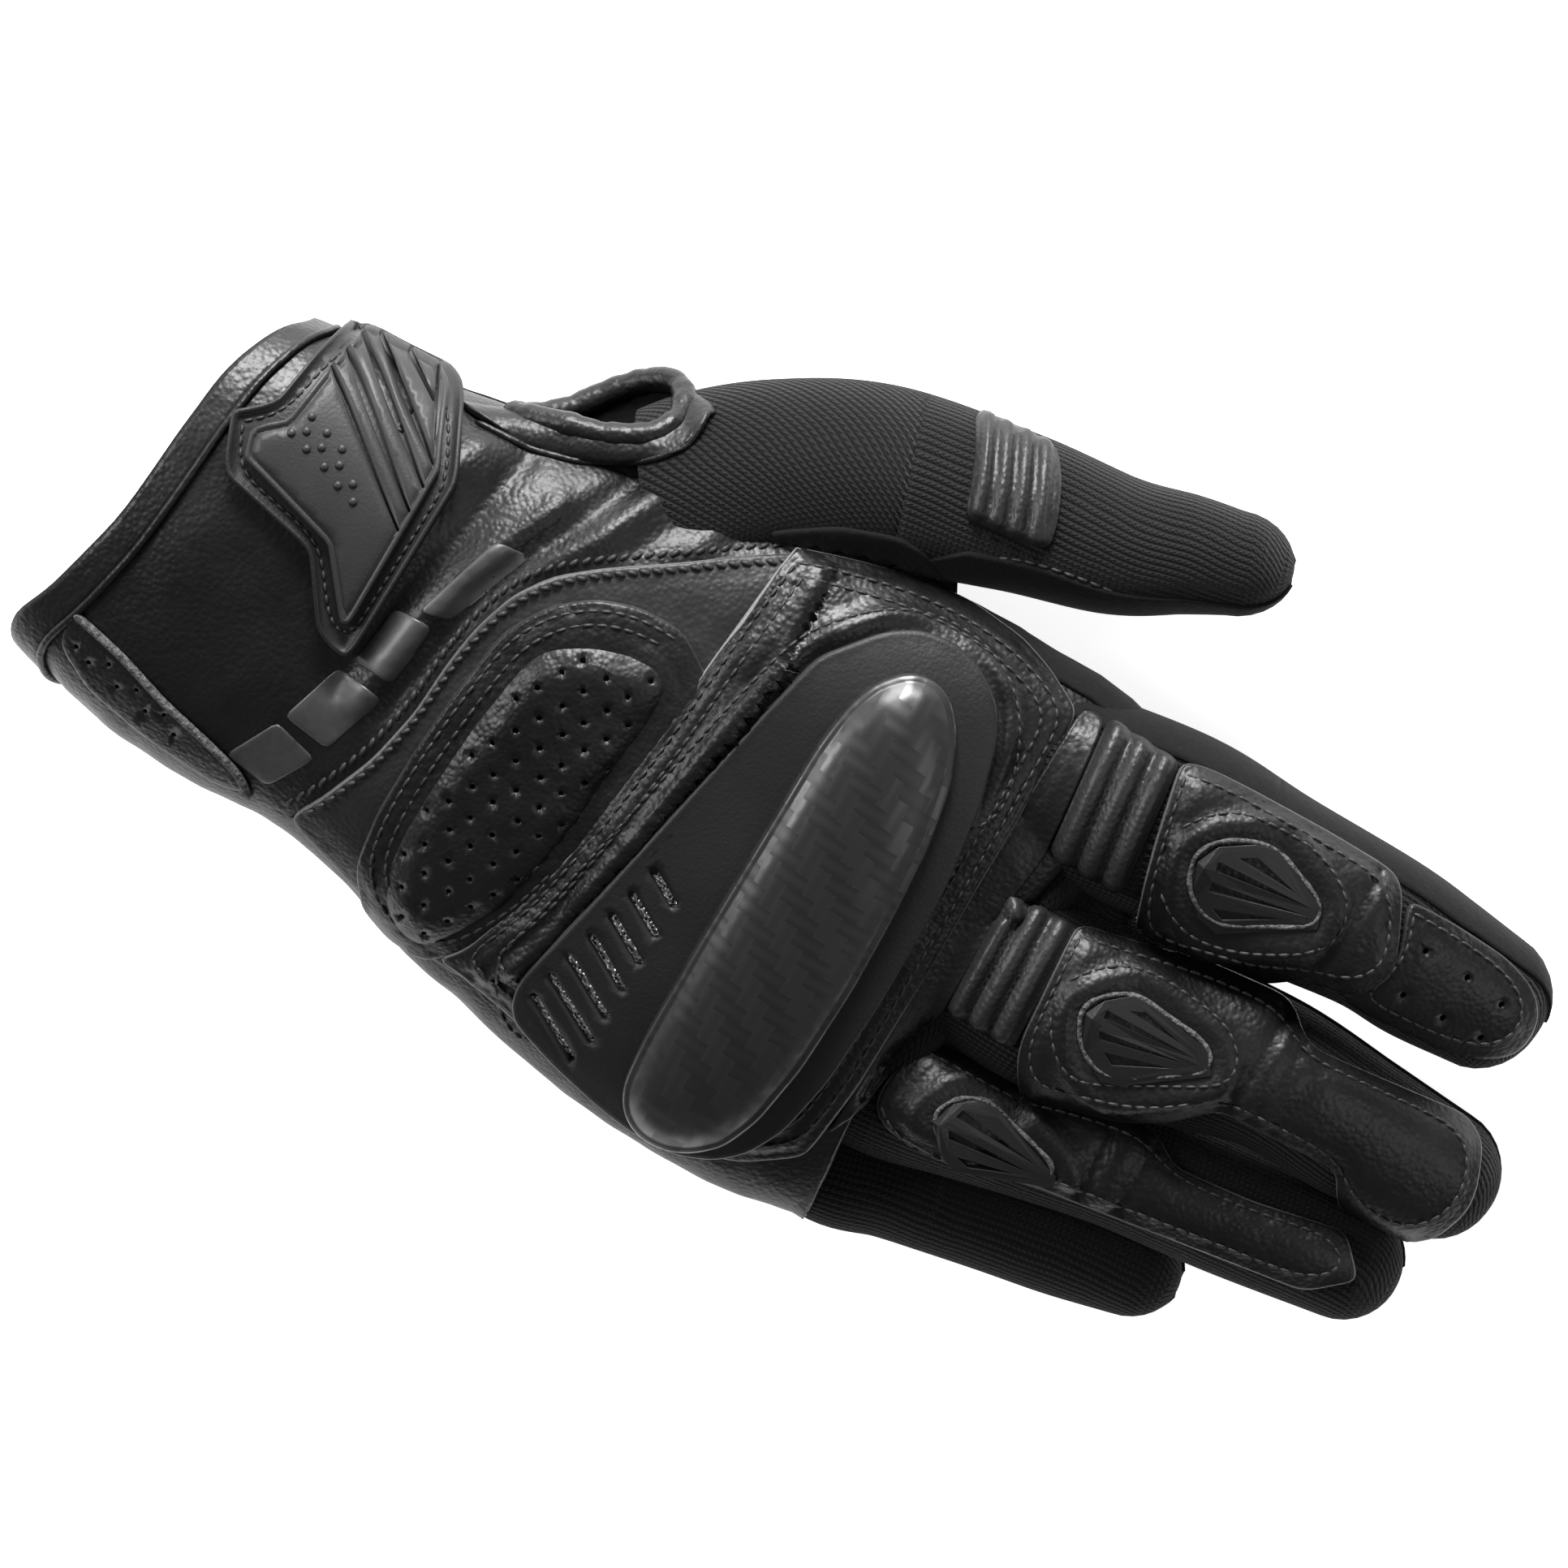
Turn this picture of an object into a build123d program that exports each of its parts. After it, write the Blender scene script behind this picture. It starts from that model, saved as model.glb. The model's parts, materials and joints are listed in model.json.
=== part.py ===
from build123d import *
import os
from math import copysign, cos, pi, radians, sin

# Right-hand short-cuff riding glove, lying palm down. Millimetres.
# +X runs from the cuff to the fingertips, +Y to the thumb side, +Z up.
# The origin is the middle of the flat face under the palm heel patch.

os.makedirs("parts", exist_ok=True)

# ---------------------------------------------------------------- driving dimensions
CUFF_MOUTH = -71.0          # where the cuff's mouth crosses the middle of the wrist
MOUTH_SLANT = 14.0          # degrees; the little-finger side of the mouth reaches further back
WRIST = -30.0               # seam between the cuff and the hand
HAND_FRONT = 84.0           # where the hand's tube ends and the fingers start
PATTERN_LEAN = 16.0         # degrees; the back panels are cut square to this lean towards the thumb
LEATHER = 1.2               # goatskin panel
FOAM = 2.2                  # foam pads under the panels
RUBBER = 2.4                # knuckle guard frame
SHELL = 2.6                 # domed shell on the guard
FINGER_WALL = 2.6           # wall of a finger stall
FIT_GAP = 0.5               # room under the strap's hook pad

# x, lowest y, highest y, lowest z, highest z of the glove's tube
HAND_SECTIONS = [
    (-30.0, -26.5, 54.0, 2.2, 46.0),
    (0.0, -33.0, 61.0, 1.8, 44.0),
    (30.0, -39.0, 65.0, 1.8, 42.0),
    (55.0, -42.0, 66.0, 2.4, 41.0),
    (84.0, -38.0, 66.0, 6.6, 36.6),
]
CUFF_SECTIONS = [
    (-86.0, -21.0, 48.0, 3.0, 47.0),
    (-56.0, -26.0, 51.5, 2.2, 47.5),
    (-30.0, -26.5, 54.0, 2.2, 46.0),
]
ALL_SECTIONS = CUFF_SECTIONS + HAND_SECTIONS[1:]
SQUARENESS = 2.4            # exponent of the tube's section: 2 is an ellipse
SECTION_POINTS = 16

# Corners of the hollow inside the tube, as fractions of its half width and half height
INNER_CORNERS = [
    (0.55, 0.77), (-0.55, 0.77), (-0.84, 0.46), (-0.84, -0.46),
    (-0.55, -0.77), (0.55, -0.77), (0.84, -0.46), (0.84, 0.46),
]
BACK_WALLS = (0, 1, 7)
LITTLE_WALL = (2,)
PALM_WALLS = (3, 4, 5)
THUMB_WALL = (6,)

NOTCH_REAR = -22.0          # the wrist notch in the thumb-side wall
NOTCH_FRONT = -1.0
THUMB_HOLE_REAR = 5.0       # where the thumb's stall opens into the hand
THUMB_HOLE_FRONT = 50.0

# Each finger: knuckle, middle joint, centre of the tip, width and height at each
FINGERS = {
    "index": dict(knuckle=(90.0, 53.2, 24.0), joint=(139.0, 53.0, 19.5), tip=(161.0, 51.0, 13.5),
                  size=((24.5, 21.0), (23.5, 19.5), (20.0, 16.5)), start=9.5, nose=10.0, guard=True),
    "middle": dict(knuckle=(90.0, 17.6, 25.0), joint=(137.0, 22.4, 20.5), tip=(168.5, 21.0, 13.5),
                   size=((24.5, 21.5), (23.0, 19.5), (19.0, 16.0)), start=8.5, nose=10.5, guard=True),
    "ring": dict(knuckle=(88.5, -11.0, 21.5), joint=(124.0, -4.4, 18.0), tip=(163.0, 0.0, 12.5),
                 size=((20.0, 20.0), (19.0, 18.5), (17.5, 15.5)), start=12.0, nose=10.0, guard=True),
    "little": dict(knuckle=(86.5, -30.2, 15.5), joint=(112.5, -25.8, 11.5), tip=(132.0, -21.6, 9.5),
                   size=((16.5, 18.0), (16.0, 16.5), (15.0, 14.0)), start=8.0, nose=10.5, guard=False),
}
JOINT_GAP_PALM = 7.5        # from a middle joint's axis to each wall beside it, on the palm side
JOINT_GAP_BACK = 1.6        # and on the back, so that the cut between the walls is a V
THUMB = dict(knuckle=(16.0, 69.0, 19.0), joint=(53.0, 82.0, 16.0), tip=(88.0, 90.5, 12.5),
             size=((27.0, 24.0), (24.0, 21.5), (17.5, 15.0)), start=19.0, nose=9.5, guard=False)
THUMB_ROLL = 35.0           # degrees; the thumb's back leans away from the hand


# ---------------------------------------------------------------- helpers
def oval(section, grow=0.0):
    """A closed face across the tube at one section, grown outwards by a thickness."""
    x, y_low, y_high, z_low, z_high = section
    y_mid, y_half = (y_low + y_high) / 2, (y_high - y_low) / 2 + grow
    z_mid, z_half = (z_low + z_high) / 2, (z_high - z_low) / 2 + grow
    points = []
    for i in range(SECTION_POINTS):
        turn = 2 * pi * i / SECTION_POINTS
        across = copysign(abs(cos(turn)) ** (2 / SQUARENESS), cos(turn))
        upwards = copysign(abs(sin(turn)) ** (2 / SQUARENESS), sin(turn))
        points.append((x, y_mid + y_half * across, z_mid + z_half * upwards))
    return make_face(Spline(points, periodic=True))


def tube(sections, grow=0.0):
    """The whole glove tube as one closed solid, grown outwards by a thickness."""
    return loft([oval(s, grow) for s in sections], ruled=True)


def wedge(corner_a, corner_b, planes_and_halves, reach=1.7):
    """The space outside one side of the inner hollow, between lines from its corners."""
    faces = []
    for plane, half_width, half_height in planes_and_halves:
        inner_a = (corner_a[0] * half_width, corner_a[1] * half_height)
        inner_b = (corner_b[0] * half_width, corner_b[1] * half_height)
        outer_a = (inner_a[0] * reach, inner_a[1] * reach)
        outer_b = (inner_b[0] * reach, inner_b[1] * reach)
        outline = Polyline(inner_a, inner_b, outer_b, outer_a, close=True)
        faces.append(plane * make_face(outline))
    return loft(faces, ruled=True)


def tube_walls(outer, sections, sides):
    """The named sides of the tube's wall, each a separate solid."""
    frames = []
    for x, y_low, y_high, z_low, z_high in sections:
        middle = (x, (y_low + y_high) / 2, (z_low + z_high) / 2)
        plane = Plane(origin=middle, x_dir=(0, 1, 0), z_dir=(1, 0, 0))
        frames.append((plane, (y_high - y_low) / 2, (z_high - z_low) / 2))
    walls = []
    for side in sides:
        corner_a, corner_b = INNER_CORNERS[side], INNER_CORNERS[(side + 1) % len(INNER_CORNERS)]
        walls.append(outer & wedge(corner_a, corner_b, frames))
    return walls


def slab(x_low, x_high):
    """A block over the whole glove between two x places."""
    return Pos((x_low + x_high) / 2, 10, 25) * Box(x_high - x_low, 400, 200)


def save(name, pieces):
    """Write one node; pieces is a list of separate solids."""
    solids = []
    for piece in pieces:
        solids.extend(piece.solids())
    shape = solids[0] if len(solids) == 1 else Compound(children=solids)
    shape.label = name
    export_step(shape, f"parts/{name}.step")


# ---------------------------------------------------------------- hand and cuff tubes
hand_tube = tube(HAND_SECTIONS)
cuff_tube = tube(CUFF_SECTIONS)
mouth_sin, mouth_cos = sin(radians(MOUTH_SLANT)), cos(radians(MOUTH_SLANT))
mouth_plane = Plane(origin=(CUFF_MOUTH, 12, 24), x_dir=(mouth_sin, mouth_cos, 0),
                    z_dir=(mouth_cos, -mouth_sin, 0))
HEM_WIDTH = 4.0
inside_mouth = mouth_plane * Pos(0, 0, 200 + HEM_WIDTH) * Box(400, 400, 400)
hem_zone = mouth_plane * Pos(0, 0, HEM_WIDTH / 2) * Box(400, 400, HEM_WIDTH)


def hand_walls():
    """Back, palm and side walls of the hand; the thumb side is open at the notch and the thumb."""
    save("hand_back", tube_walls(hand_tube, HAND_SECTIONS, BACK_WALLS))
    save("hand_palm", tube_walls(hand_tube, HAND_SECTIONS, PALM_WALLS))
    little_side = tube_walls(hand_tube, HAND_SECTIONS, LITTLE_WALL)
    thumb_side = tube_walls(hand_tube, HAND_SECTIONS, THUMB_WALL)[0]
    kept = [(WRIST, NOTCH_REAR), (NOTCH_FRONT, THUMB_HOLE_REAR), (THUMB_HOLE_FRONT, HAND_FRONT)]
    save("hand_sides", little_side + [thumb_side & slab(a, b) for a, b in kept])


def cuff_walls():
    """The cuff's panels behind the wrist seam, and the folded hem round its mouth."""
    sides = {"cuff_back": BACK_WALLS, "cuff_palm": PALM_WALLS,
             "cuff_little_side": LITTLE_WALL, "cuff_thumb_side": THUMB_WALL}
    hem = []
    for name, chosen in sides.items():
        walls = tube_walls(cuff_tube, CUFF_SECTIONS, chosen)
        save(name, [wall & inside_mouth for wall in walls])
        hem.extend(wall & hem_zone for wall in walls)
    save("cuff_hem", hem)


def notch_binding():
    """Rolled binding round the wrist notch: one straight roll on each edge of the opening."""
    roll = 2.0
    y_edge, z_low, z_high = 59.5, 12.0, 37.0
    length = NOTCH_FRONT - NOTCH_REAR - 2 * roll
    rolls = []
    for z in (z_low, z_high):
        middle = ((NOTCH_FRONT + NOTCH_REAR) / 2, y_edge - 1.5, z)
        rolls.append(Pos(*middle) * Rot(0, 90, 0) * Cylinder(roll, length))
    for x in (NOTCH_REAR + roll, NOTCH_FRONT - roll):
        length = z_high - z_low - 2 * roll - 0.4
        rolls.append(Pos(x, y_edge - 1.5, (z_low + z_high) / 2) * Cylinder(roll, length))
    return [(r - tube(ALL_SECTIONS)).solids().sort_by(SortBy.VOLUME)[-1] for r in rolls]


def palm_heel_patch():
    """Abrasion patch under the palm heel, flat below; the glove rests on it."""
    length, width, thickness = 62.0, 52.0, 3.4
    patch = extrude(RectangleRounded(length, width, 10), thickness)
    return [patch - tube(ALL_SECTIONS)]


# ---------------------------------------------------------------- panels on the back
lean = radians(PATTERN_LEAN)
pattern_plane = Plane(origin=(0, 0, 0), x_dir=(1, 0, 0), z_dir=(0, sin(lean), cos(lean)))
above_middle = Pos(0, 0, 20.5 + 100) * Box(400, 400, 200)


def on_back(outline, inner, outer):
    """A panel with a drawn outline that lies on the tube between two thicknesses."""
    prism = extrude(pattern_plane * outline, 90, both=True)
    skin = tube(ALL_SECTIONS, outer) - tube(ALL_SECTIONS, inner)
    return (skin & prism & above_middle).solids().sort_by(SortBy.VOLUME)[-1]


def closed_curve(points, inset=0.0):
    """A face inside a smooth closed curve through a few points, drawn in towards its middle."""
    middle = sum((Vector(*p) for p in points), Vector()) / len(points)
    drawn = [Vector(*p) - (Vector(*p) - middle).normalized() * inset for p in points]
    return make_face(Spline(drawn, periodic=True))


PAD_OUTLINE = [(19, 19), (8, 21), (-3, 12), (-6, -8), (-5, -27), (4, -36), (12, -32), (17.5, -14), (20, 4)]
YOKE_OUTLINE = [(25, 42), (10, 35), (-7, 24), (-13.5, 4), (-16, -16), (-14, -28), (0, -36),
                (16, -35), (20, -20), (22, 0), (24, 25)]
FRAME_OUTLINE = [(24.5, -32), (27.5, -15), (31, 5), (36, 28), (44, 44), (56, 49), (67, 44),
                 (73, 28), (75.5, 0), (74, -25), (68, -39.5), (56, -43.5), (40, -42), (29, -38.5)]
KNUCKLE_OUTLINE = [(23, -34), (25, -15), (27, 10), (29, 35), (37, 48), (56, 51), (69, 47),
                   (77.5, 35), (78.8, 0), (77, -28), (69, -42), (52, -44.5), (32, -42.5)]
SHELL_OUTLINE = [(45, 10), (46, 30), (50.5, 41), (57, 43), (64, 37.5), (69, 20), (70.3, -4),
                 (68.5, -31), (62, -41.5), (54, -43.5), (47, -38), (44.8, -15)]
FOAM_INSET = 2.4            # foam stays this far inside the edge of what covers it


def metacarpal_pad():
    """Perforated leather pad behind the knuckle guard, on the yoke panel."""
    pad = on_back(closed_curve(PAD_OUTLINE), LEATHER + FOAM, LEATHER + FOAM + LEATHER)
    hole_radius, pitch = 0.6, 5.0
    rows, columns = 5, 11
    holed_half_length, holed_half_width = 11.0, 25.0
    for row in range(rows):
        for column in range(columns):
            x = -2.0 + row * pitch
            v = -30.0 + (column + 0.5 * (row % 2)) * pitch
            if ((x - 7) / holed_half_length) ** 2 + ((v + 8) / holed_half_width) ** 2 < 1:
                pad -= pattern_plane * Pos(x, v, 0) * Cylinder(hole_radius, 120)
    save("metacarpal_pad", [pad])
    save("yoke_panel", [on_back(closed_curve(YOKE_OUTLINE), 0.0, LEATHER)])


def knuckle_guard():
    """Knuckle panel, vented rubber frame, mesh under the vents, domed shell, and the foam pads."""
    base = LEATHER + FOAM
    frame = on_back(closed_curve(FRAME_OUTLINE), base, base + RUBBER)
    mesh = on_back(Pos(33.5, -21.5) * RectangleRounded(13, 36, 5), base - 0.6, base)
    vents, vent_pitch = 7, 4.75
    for i in range(vents):
        left = 33.0 - 0.9 * i
        slot = Rot(0, 0, -28) * SlotOverall(40.0 - left, 1.6)
        slot = Pos((left + 38.5) / 2, -8.0 - vent_pitch * i) * slot
        frame -= extrude(pattern_plane * slot, 90, both=True)
    guard_foam = on_back(closed_curve(FRAME_OUTLINE, FOAM_INSET), LEATHER, base) - mesh
    pad_foam = on_back(closed_curve(PAD_OUTLINE, FOAM_INSET), LEATHER, base)
    save("back_foam", [guard_foam, pad_foam])
    save("knuckle_panel", [on_back(closed_curve(KNUCKLE_OUTLINE), 0.0, LEATHER)])
    save("guard_vent_mesh", [mesh])
    save("guard_frame", [frame])
    save("guard_shell", [on_back(closed_curve(SHELL_OUTLINE), base + RUBBER, base + RUBBER + SHELL)])


# ---------------------------------------------------------------- closing strap
STRAP_OUTLINE = Polyline((-64, 21), (-59.5, 26.5), (-58, 36), (-54.5, 45), (-37, 45), (-27.5, 31),
                         (-28, -1), (-33, -2), (-43, 9.5), (-61, 13), close=True)


def closing_strap():
    """Loop patch on the cuff; strap root; the strap's tab with its hook pad and moulded badge."""
    tab_outline = make_face(STRAP_OUTLINE)
    loop_outline = Pos(-45, 16) * RectangleRounded(24, 34, 3)
    hook_outline = Pos(-45, 20) * RectangleRounded(20, 22, 3)
    loop_top = 1.2
    hook_top = loop_top + FIT_GAP + 1.2
    tab_top = hook_top + 2.0
    badge_top = tab_top + 1.8
    save("strap_loop_patch", [on_back(loop_outline, 0.0, loop_top)])
    save("strap_hook_pad", [on_back(hook_outline, loop_top + FIT_GAP, hook_top)])
    save("strap_tab", [on_back(tab_outline, hook_top, tab_top)])
    badge = on_back(offset(tab_outline, -2.0), tab_top, badge_top)
    save("strap_badge", [badge])
    root = Pos(-44, 54.0, 13.5) * Box(20, 6.0, 11)
    save("strap_root", [fillet(root.edges().filter_by(Axis.X), 1.8) - tube(ALL_SECTIONS)])


# ---------------------------------------------------------------- stalls
def stall_frame(start, end, roll=0.0):
    """A plane at the start whose normal runs along the stall and whose y points to its back."""
    along = (Vector(*end) - Vector(*start)).normalized()
    back = Vector(0, sin(radians(roll)), cos(radians(roll)))
    side = back.cross(along).normalized()
    return Plane(origin=start, x_dir=side, z_dir=along), (Vector(*end) - Vector(*start)).length


def rounded(plane, at, size):
    """A rounded rectangle across a stall at a distance along it."""
    width, height = size
    return plane * Pos(0, 0, at) * RectangleRounded(width, height, 0.36 * min(width, height))


def joint_cut(plane, at, height, towards):
    """The block beyond a middle joint's slanted cut; towards is +1 or -1 along the stall."""
    palm = Vector(0, -height / 2, at - towards * JOINT_GAP_PALM)
    back = Vector(0, height / 2, at - towards * JOINT_GAP_BACK)
    slope = (back - palm).normalized()
    middle = (palm + back) / 2
    local = Plane(origin=middle, x_dir=(1, 0, 0), z_dir=Vector(1, 0, 0).cross(slope) * towards)
    reach = 60.0
    return plane * (local * Pos(0, 0, reach / 2) * Box(reach, reach, reach))


def stall_walls(plane, start, end, size_start, size_end):
    """Back, thumb-side, palm and little-side walls of a straight stall."""
    outer = loft([rounded(plane, start, size_start), rounded(plane, end, size_end)], ruled=True)
    frames = []
    for at, (width, height) in ((start, size_start), (end, size_end)):
        frames.append((plane.offset(at), width / 2, height / 2))
    width, height = size_start
    across = 1 - 2 * FINGER_WALL / width
    upwards = 1 - 2 * FINGER_WALL / height
    corners = [(-across, upwards), (across, upwards), (across, -upwards), (-across, -upwards)]
    walls = []
    for i, corner in enumerate(corners):
        walls.append(outer & wedge(corner, corners[(i + 1) % 4], frames))
    return walls


def nose_cap(plane, start, size, reach):
    """The closed end of a stall, rounded off over its reach."""
    faces = []
    for turn in (0, 30, 52, 70):
        shrink = cos(radians(turn))
        faces.append(rounded(plane, start + reach * sin(radians(turn)) / sin(radians(70)),
                             (size[0] * shrink, size[1] * shrink)))
    return loft(faces)


def stall(name, spec, roll=0.0):
    """Both segments of one stall, split at its middle joint."""
    base_plane, base_length = stall_frame(spec["knuckle"], spec["joint"], roll)
    tip_plane, tip_length = stall_frame(spec["joint"], spec["tip"], roll)
    size_root, size_joint, size_tip = spec["size"]
    base_start = spec["start"]
    base_walls = stall_walls(base_plane, base_start, base_length, size_root, size_joint)
    tip_walls = stall_walls(tip_plane, 0.0, tip_length, size_joint, size_tip)
    beyond = joint_cut(base_plane, base_length, size_joint[1], 1)
    behind = joint_cut(tip_plane, 0.0, size_joint[1], -1)
    back, side_a, palm, side_b = [wall - beyond for wall in base_walls]
    tip_back, tip_a, tip_palm, tip_b = [wall - behind for wall in tip_walls]
    cap = nose_cap(tip_plane, tip_length, size_tip, spec["nose"])
    if spec["guard"]:
        save(f"{name}_back", [back])
        save(f"{name}_fourchettes", [side_a, side_b])
        save(f"{name}_palm", [palm])
        save(f"{name}_tip_back", [tip_back])
        save(f"{name}_tip_fourchettes", [tip_a, tip_b, cap])
        save(f"{name}_tip_palm", [tip_palm])
        finger_guard(name, base_plane, base_start, base_length - JOINT_GAP_BACK, size_root)
    else:
        save(f"{name}_back", [back, side_a, side_b])
        save(f"{name}_palm", [palm])
        save(f"{name}_tip_back", [tip_back, tip_a, tip_b, cap])
        save(f"{name}_tip_palm", [tip_palm])
    return base_plane


def finger_guard(name, plane, start, end, size):
    """Foam pad and six-sided ridged protector on a finger's back."""
    middle, length = (start + end) / 2, end - start - 2.0
    foam_width = size[0] - 0.72 * min(size)
    foot = size[1] / 2
    centre = plane.from_local_coords(Vector(0, foot, middle))
    lying = Plane(origin=centre, x_dir=plane.z_dir, z_dir=plane.y_dir)
    foam_thickness, guard_height = 2.0, 3.4
    foam = extrude(lying * RectangleRounded(length, foam_width + 5, 4), foam_thickness)
    half, wide = min(length, 25.0) / 2 - 1.0, foam_width / 2 + 1.2
    six = Polyline((half, 1.0), (half * 0.15, wide), (-half * 0.75, wide * 0.75), (-half, 0),
                   (-half * 0.75, -wide * 0.75), (half * 0.15, -wide), (half, -1.0), close=True)
    raised = lying.offset(foam_thickness)
    protector = extrude(raised * make_face(six), guard_height, taper=28)
    save(f"{name}_foam", [foam])
    save(f"{name}_protector", [protector])


def ribbed_bridge(plane, start, end, width, height, ribs):
    """A stretch panel over a joint: a thin floor with round cross ribs on its back."""
    length = end - start
    pitch = length / ribs
    lying = Plane(origin=plane.from_local_coords(Vector(0, height, (start + end) / 2)),
                  x_dir=plane.z_dir, z_dir=plane.y_dir)
    bridge = lying * Pos(0, 0, -0.9) * Box(length, width, 1.8)
    for i in range(ribs):
        place = -length / 2 + pitch * (i + 0.5)
        bridge += lying * Pos(place, 0, 0) * Rot(90, 0, 0) * Cylinder(pitch * 0.42, width - 1.0)
    return bridge


def fingers():
    for name, spec in FINGERS.items():
        plane = stall(name, spec)
        width, height = spec["size"][0]
        ribs = {"index": 3, "middle": 3}.get(name, 5)
        label = {"index": "index_accordion", "middle": "middle_accordion"}.get(name, f"{name}_root_gusset")
        rear = HAND_FRONT + 0.6 - spec["knuckle"][0]
        bridge = ribbed_bridge(plane, rear, spec["start"] - 0.6, width * 0.72, height / 2 - 2.0, ribs)
        save(label, [bridge - slab(HAND_FRONT - 20, HAND_FRONT + 0.4)])


def thumb():
    """The thumb's two segments, the ribbed panel over its joint and the gusset at its root."""
    plane = stall("thumb", THUMB, THUMB_ROLL)
    joint_at = (Vector(*THUMB["joint"]) - Vector(*THUMB["knuckle"])).length
    width, height = THUMB["size"][1]
    ribs = ribbed_bridge(plane, joint_at - 7.0, joint_at + 7.0, width * 0.7, height / 2 + 2.6, 4)
    save("thumb_ribs", [ribs])
    width, height = THUMB["size"][0]
    outside = (width, height)
    inside = (width - 5, height - 5)
    gusset = loft([rounded(plane, -4.0, outside), rounded(plane, THUMB["start"] - 0.8, outside)])
    hollow = loft([rounded(plane, -5.0, inside), rounded(plane, THUMB["start"] + 1, inside)])
    gusset = gusset - hollow - tube(HAND_SECTIONS, 0.3)
    save("thumb_root_gusset", [gusset.solids().sort_by(SortBy.VOLUME)[-1]])


hand_walls()
cuff_walls()
save("notch_binding", notch_binding())
save("palm_heel_patch", palm_heel_patch())
metacarpal_pad()
knuckle_guard()
closing_strap()
fingers()
thumb()
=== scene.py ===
import json
import math

import bmesh
import bpy
import numpy as np
from mathutils import Matrix, Vector, geometry, noise
from mathutils.bvhtree import BVHTree
from mathutils.interpolate import poly_3d_calc


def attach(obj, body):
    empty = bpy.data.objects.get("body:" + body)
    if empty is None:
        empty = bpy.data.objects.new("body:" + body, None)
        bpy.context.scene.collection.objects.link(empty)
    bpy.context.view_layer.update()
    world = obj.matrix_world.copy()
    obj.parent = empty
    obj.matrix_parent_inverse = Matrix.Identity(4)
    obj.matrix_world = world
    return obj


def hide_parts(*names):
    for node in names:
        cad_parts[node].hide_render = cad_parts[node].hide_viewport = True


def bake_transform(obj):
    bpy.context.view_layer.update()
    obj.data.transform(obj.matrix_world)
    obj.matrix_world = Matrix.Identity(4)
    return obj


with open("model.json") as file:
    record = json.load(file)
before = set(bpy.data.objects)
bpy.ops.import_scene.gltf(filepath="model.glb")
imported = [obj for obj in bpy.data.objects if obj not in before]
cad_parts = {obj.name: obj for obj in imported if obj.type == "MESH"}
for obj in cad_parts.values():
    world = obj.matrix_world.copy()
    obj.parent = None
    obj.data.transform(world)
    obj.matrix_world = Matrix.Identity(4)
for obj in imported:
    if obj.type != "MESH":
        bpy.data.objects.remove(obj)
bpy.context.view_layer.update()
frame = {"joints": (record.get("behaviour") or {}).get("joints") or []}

MM = 0.001
joint_at = {j["name"]: np.array(j["pos_m"]) / MM for j in frame["joints"]}

# ---------------------------------------------------------------------------------------------
# Studio: pale floor, soft boxes, and a long lens that looks at the back of the hand, leaning a
# little towards the thumb, with the fingers pointing down to the right.
LEAN = math.radians(16.0)
ROLL = math.radians(31.0)
out_of_back = Vector((0, math.sin(LEAN), math.cos(LEAN)))
across_back = Vector((0, math.cos(LEAN), -math.sin(LEAN)))
picture_right = Vector((math.cos(ROLL), 0, 0)) + across_back * math.sin(ROLL)
picture_up = Vector((-math.sin(ROLL), 0, 0)) + across_back * math.cos(ROLL)
look_at = Vector((44.1, 24.0, 25.0)) * MM
CAMERA_DISTANCE = 1.2
FIELD_WIDTH = 0.2576
SENSOR = 36.0

camera = bpy.data.objects.new("camera", bpy.data.cameras.new("camera"))
bpy.context.scene.collection.objects.link(camera)
camera.data.sensor_width = SENSOR
camera.data.lens = SENSOR * CAMERA_DISTANCE / FIELD_WIDTH
camera.data.clip_start, camera.data.clip_end = 0.05, 20.0
turn = Matrix((picture_right, picture_up, out_of_back)).transposed().to_4x4()
camera.matrix_world = Matrix.Translation(look_at + out_of_back * CAMERA_DISTANCE) @ turn
bpy.context.scene.camera = camera


def soft_box(name, place, size, power):
    """An area light at a place in metres, aimed at the glove."""
    data = bpy.data.lights.new(name, "AREA")
    data.shape, data.size, data.energy = "SQUARE", size, power
    light = bpy.data.objects.new(name, data)
    bpy.context.scene.collection.objects.link(light)
    light.location = place
    light.rotation_euler = (look_at - Vector(place)).to_track_quat("-Z", "Y").to_euler()


soft_box("key_light", look_at + picture_up * 0.85 + out_of_back * 0.6, 0.4, 29.0)
soft_box("side_light", look_at - picture_right * 0.9 + picture_up * 0.3 + out_of_back * 0.6, 0.35, 7.0)
soft_box("fill_light", look_at + picture_right * 0.8 - picture_up * 0.5 + out_of_back * 0.9, 0.6, 2.2)
world = bpy.data.worlds.new("studio")
bpy.context.scene.world = world
world.use_nodes = True
world.node_tree.nodes["Background"].inputs["Color"].default_value = (1, 1, 1, 1)
world.node_tree.nodes["Background"].inputs["Strength"].default_value = 0.17
bpy.context.scene.view_settings.view_transform = "Standard"

bpy.ops.object.select_all(action="DESELECT")
bpy.ops.mesh.primitive_plane_add(size=6.0, location=(0, 0, -0.0002))
floor = bpy.context.object
floor.name = "floor"
floor_paint = bpy.data.materials.new("floor_paint")
floor_paint.use_nodes = True
paint = floor_paint.node_tree.nodes["Principled BSDF"].inputs
paint["Base Color"].default_value = (0.9, 0.9, 0.9, 1)
paint["Roughness"].default_value = 0.8
paint["Emission Color"].default_value = (1, 1, 1, 1)
paint["Emission Strength"].default_value = 0.85
floor.data.materials.append(floor_paint)

# ---------------------------------------------------------------------------------------------
# Leather: thin full-grain goatskin, nearly black, with a fine pebble, soft creases and a paler
# raw edge where a panel is cut. The same grain serves the grey panels.


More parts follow.
